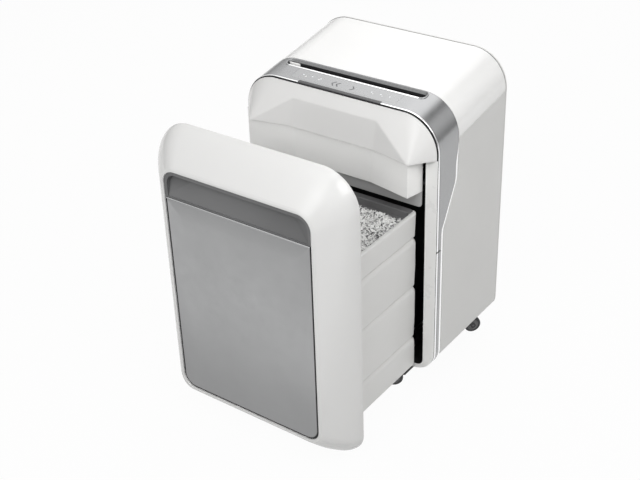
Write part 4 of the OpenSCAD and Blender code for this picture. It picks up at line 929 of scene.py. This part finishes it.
# ---
# The shredded paper. Cross-cut strips of a few sheets, printed and plain, that lie
# loose on a rounded heap just below the tub's rim.
heap_x, heap_y0, heap_y1, heap_low, heap_z = 136.4, 9.0, 170.0, 52.0, 320.5
strip_len, strip_wide, strip_thick = 9.0, 2.1, 0.25
paper_base = moulded("paper_base", (0.50, 0.50, 0.50), rough=0.8, mottle=0.5, grain=0.0004, grain_size=0.003)
shred_paper = bpy.data.materials.new("shred_paper")
tree = node_tree(shred_paper)
tone = add_node(tree, "Attribute", attribute_name="tone").outputs["Fac"]
ramp = colour_ramp(tree, tone, "CONSTANT", (
    (0.0, (0.03, 0.03, 0.033)), (0.13, (0.26, 0.26, 0.265)), (0.17, (0.66, 0.66, 0.66 * 0.99)),
    (0.28, (0.94, 0.94, 0.94 * 0.99))))
fibre = noise(tree, add_node(tree, "TexCoord").outputs["Object"], 420.0, 3.0)
paper_shader = add_node(tree, "BsdfPrincipled", {
    "Base Color": mix_colours(tree, remap(tree, fibre, 0.0, 0.22), ramp, (0.5, 0.5, 0.5, 1)),
    "Roughness": remap(tree, fibre, 0.65, 0.85), "Specular IOR Level": 0.25,
    "Normal": add_node(tree, "Bump", {"Strength": 0.3, "Distance": 5e-5, "Height": fibre})})
add_node(tree, "OutputMaterial", {"Surface": paper_shader})


def heap_height(x, y):
    """Gentle lumps, a little lower along the walls."""
    edge = min(heap_x - abs(x), y - heap_y0, heap_y1 - y)
    lumps = 1.6 * math.sin(x / 19 + 1.3) * math.cos(y / 16) + 1.2 * math.sin(x / 8.3 + y / 11.7)
    return heap_z + (3.5 + lumps) * min(1.0, max(0.0, edge / 14))


heap_cols, heap_lines = 60, 36
heap_grid = [
    [(x, y, heap_height(x, y)) for x in [heap_x * (2 * i / heap_cols - 1) for i in range(heap_cols + 1)]]
    for y in [heap_y0 + (heap_y1 - heap_y0) * j / heap_lines for j in range(heap_lines + 1)]]
heap = bmesh.new()
heap.from_mesh(sheet_mesh(heap_grid, drawer_y))
walls = bmesh.ops.extrude_edge_only(heap, edges=[e for e in heap.edges if len(e.link_faces) == 1])
for v in walls["geom"]:
    if isinstance(v, bmesh.types.BMVert):
        v.co.z = heap_low * MM
bmesh.ops.contextual_create(heap, geom=[e for e in heap.edges if len(e.link_faces) == 1])
bmesh.ops.recalc_face_normals(heap, faces=heap.faces)
finish_piece("paper_heap", to_mesh(heap), [paper_base], "drawer", ["paper_shreds"], 60)

shreds, shred_in, shred_keys = geometry_tree(
    "shreds_on_heap", Per_Square_Metre="Float", Length="Float", Width="Float", Thickness="Float",
    Curl="Float", Seed="Int")
spread = add_node(shreds, "DistributePointsOnFaces", {
    "Mesh": shred_in["Geometry"], "Density": shred_in["Per Square Metre"], "Seed": shred_in["Seed"]})
strip_size = add_node(shreds, "CombineXYZ", {
    "X": shred_in["Length"], "Y": shred_in["Width"], "Z": shred_in["Thickness"]})
strip = add_node(shreds, "MeshCube", {"Size": strip_size, "Vertices X": 4})
along = add_node(shreds, "SeparateXYZ", {0: add_node(shreds, "InputPosition")}).outputs["X"]
curl = times(shreds, times(shreds, along, along), shred_in["Curl"])
bend = add_node(shreds, "SetPosition", {
    "Geometry": strip, "Offset": add_node(shreds, "CombineXYZ", {"Z": curl})})
# Sockets of a random value: 0 and 1 bound a direction, 2 and 3 a number, and output 1 is the number
turn, grow, shade = [
    add_node(shreds, "RandomValue", {**bounds, "Seed": seed}, data_type=kind)
    for kind, seed, bounds in (
        ("FLOAT_VECTOR", 3, {0: (-0.5, -0.5, 0), 1: (0.5, 0.5, 2 * math.pi)}),
        ("FLOAT", 5, {2: 0.55, 3: 1.1}), ("FLOAT", 8, {}))]
scatter = add_node(shreds, "InstanceOnPoints", {
    "Points": spread.outputs["Points"], "Instance": bend, "Rotation": turn, "Scale": grow.outputs[1]})
keep_tone = add_node(
    shreds, "StoreNamedAttribute", {"Geometry": scatter, "Name": "tone", "Value": shade.outputs[1]},
    data_type="FLOAT", domain="INSTANCE")
end_tree(shreds, keep_tone, shred_in["Finish"])
strip_share, strip_lift = 0.965, 1.2
heap_top = [
    [(x * strip_share, heap_y0 + 3 + (y - heap_y0) * strip_share, z + strip_lift) for x, y, z in line]
    for line in heap_grid]
strips = grown(
    sheet_mesh(heap_top, drawer_y), shreds, shred_keys, Per_Square_Metre=150000.0, Length=strip_len * MM,
    Width=strip_wide * MM, Thickness=strip_thick * MM, Curl=38.0, Seed=11, Finish=shred_paper)
finish_piece("paper_strips", strips, [], "drawer", sharp_angle=30)

# ---
# The casters. Each has a grey tyre on a paler hub, turned with a rounded tread,
# between the cheeks of a black fork that swivels in the base.
wheel_r, axle_r, axle_half = 14.5, 2.0, 6.8
tyre_dark = moulded("tyre_dark", (0.045, 0.045, 0.047), rough=0.55, mottle=0.1, grain=5e-5)
hub_grey = moulded("hub_grey", (0.15, 0.15, 0.153), rough=0.42, mottle=0.06)
wheel_profile = [
    (-axle_half, 0.6), (-axle_half, 1.6), (-axle_half + 0.4, axle_r), (-4.0, axle_r), (-4.3, 3.2),
    (-4.3, 4.6), (-3.9, 5.2), (-3.9, 8.6), (-4.3, 9.2), (-4.3, 9.8), (-4.0, 10.1), (-4.45, 10.5),
    (-4.45, 12.2), (-3.9, 13.5), (-2.9, 14.3), (-1.6, wheel_r)]
wheel_profile += [(-a, r) for a, r in reversed(wheel_profile)]
hub_reach = 10.0
wheel_sides = 48
for place, turn_angle in (("front_left", 325), ("front_right", -145), ("rear_left", 130), ("rear_right", 50)):
    low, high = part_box("caster_wheel_" + place)
    middle = (Vector(low) + Vector(high)) / 2
    heading = math.radians(turn_angle)
    along = Vector((-math.sin(heading), math.cos(heading), 0))
    across = Vector((along.y, -along.x, 0))
    turns = [2 * math.pi * k / wheel_sides for k in range(wheel_sides)]
    wheel = lofted([
        [along * a + across * r * math.cos(turn) + Vector((0, 0, r * math.sin(turn))) for turn in turns]
        for a, r in wheel_profile], 0.0)
    wheel.transform(Matrix.Translation(middle))
    for face in wheel.polygons:
        off = face.center - middle
        radius = (off - along * off.dot(along)).length / MM
        face.material_index = 1 if radius < hub_reach else 0
    finish_piece("caster_wheel_turned_" + place, wheel, [tyre_dark, hub_grey], "wheel_" + place,
                 ["caster_wheel_" + place], 35)
    moulding("caster_fork_" + place, base_black, "fork_" + place)

# ---
# The back. Cross-headed screws hold the rear panel to the side panels' bosses; the
# inlet and the rocker switch snap into it. The runners below the bin are folded
# from zinc-plated strip.
steel = moulded("steel", (0.55, 0.55, 0.56), metal=1.0, mottle=0.03)
electric_black = moulded("electric_black", (0.02, 0.02, 0.02), rough=0.35, mottle=0.1)
for material, slot, bodies in (
        (steel, "plate_steel", {
            "runner_rails": "cabinet", "runner_slides": "runner_slides", "bin_rails": "drawer"}),
        (electric_black, None, {
            "power_inlet": "cabinet", "switch_housing": "cabinet", "power_rocker": "rocker"})):
    for node, body in bodies.items():
        moulding(node, material, body, width=0.0003)

screw_x, screw_heights, screw_head_y = 168.0, (96.0, 250.0, 355.0), 201.8
screw_tree, sizes, screw_keys = geometry_tree(
    "cross_screws", Head_Radius="Float", Head_Height="Float", Shank_Radius="Float", Shank_Length="Float",
    Cross_Width="Float")


def moved(shape, share, size):
    """Shape moved along Z by a share of a size."""
    distance = add_node(screw_tree, "CombineXYZ", {"Z": times(screw_tree, sizes[size], share)})
    return add_node(screw_tree, "Transform", {"Geometry": shape, "Translation": distance})


head, shank = [
    add_node(screw_tree, "MeshCylinder", {
        "Radius": sizes[part + " Radius"], "Depth": sizes[part + length], "Vertices": sides})
    for part, length, sides in (("Head", " Height", 32), ("Shank", " Length", 16))]
recess = add_node(screw_tree, "MeshBoolean", {0: head}, operation="DIFFERENCE")
for long, wide in (("Head Radius", "Cross Width"), ("Cross Width", "Head Radius")):
    bar = add_node(screw_tree, "MeshCube", {"Size": add_node(screw_tree, "CombineXYZ", {
        "X": sizes[long], "Y": sizes[wide], "Z": sizes["Head Height"]})})
    screw_tree.links.new(moved(bar, 0.4, "Head Height").outputs[0], recess.inputs[1])
whole = add_node(screw_tree, "JoinGeometry", {0: recess})
screw_tree.links.new(moved(shank, -0.52, "Shank Length").outputs[0], whole.inputs[0])
places = add_node(screw_tree, "MeshToPoints", {"Mesh": sizes["Geometry"]})
set_screws = add_node(screw_tree, "InstanceOnPoints", {
    "Points": places, "Instance": whole, "Rotation": (-math.pi / 2, 0, 0)})
end_tree(screw_tree, set_screws, sizes["Finish"])
screw_points = bmesh.new()
grid_of(screw_points, [[(s * screw_x, screw_head_y, z) for z in screw_heights] for s in (-1, 1)], front_y)
screws = grown(
    to_mesh(screw_points), screw_tree, screw_keys, Head_Radius=3.6 * MM, Head_Height=1.9 * MM,
    Shank_Radius=1.6 * MM, Shank_Length=12 * MM, Cross_Width=0.9 * MM, Finish=steel)
finish_piece("casing_screws_cross", screws, [], "cabinet", ["casing_screws"], 35)

# ---
# The cutting head, drive and electrics keep their solids' shapes: steel plates and
# cutters, a grey chassis, bronze bushings, nylon gears, a black motor, boards and lights.
chassis_steel = moulded("chassis_steel", (0.03, 0.031, 0.033), rough=0.55, mottle=0.1)
cutter_steel = moulded("cutter_steel", (0.40, 0.40, 0.42), rough=0.28, metal=1.0, mottle=0.06)
bush_bronze = moulded("bush_bronze", (0.55, 0.38, 0.18), rough=0.4, metal=1.0, mottle=0.08)
gear_nylon = moulded("gear_nylon", (0.70, 0.68, 0.60), rough=0.45)
motor_paint = moulded("motor_paint", (0.06, 0.06, 0.07), rough=0.35, mottle=0.05, coat=0.2)
magnet_grey = moulded("magnet_grey", (0.12, 0.12, 0.13), rough=0.6, mottle=0.15)
inner_nodes = {
    steel: ("cutter_plate_left", "cutter_plate_right", "tie_rods", "idler_pin"),
    cutter_steel: ("cutter_shaft_front", "cutter_shaft_rear", "timing_gear_front", "timing_gear_rear",
                   "motor_pinion"),
    bush_bronze: ("shaft_bushings",),
    gear_nylon: ("drive_gear", "idler_gear"),
    chassis_steel: ("head_chassis",),
    motor_paint: ("motor_can",),
    magnet_grey: ("bin_magnet",),
    base_black: ("stripper_comb_front", "stripper_comb_rear", "motor_saddle", "gear_cover"),
    electric_black: ("bin_sensor",),
    board_green: ("main_board", "control_board"),
    light_lens: ("status_lights",),
}
for material, names in inner_nodes.items():
    for name in names:
        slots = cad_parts[name].data.materials
        for k in range(len(slots)):
            slots[k] = material
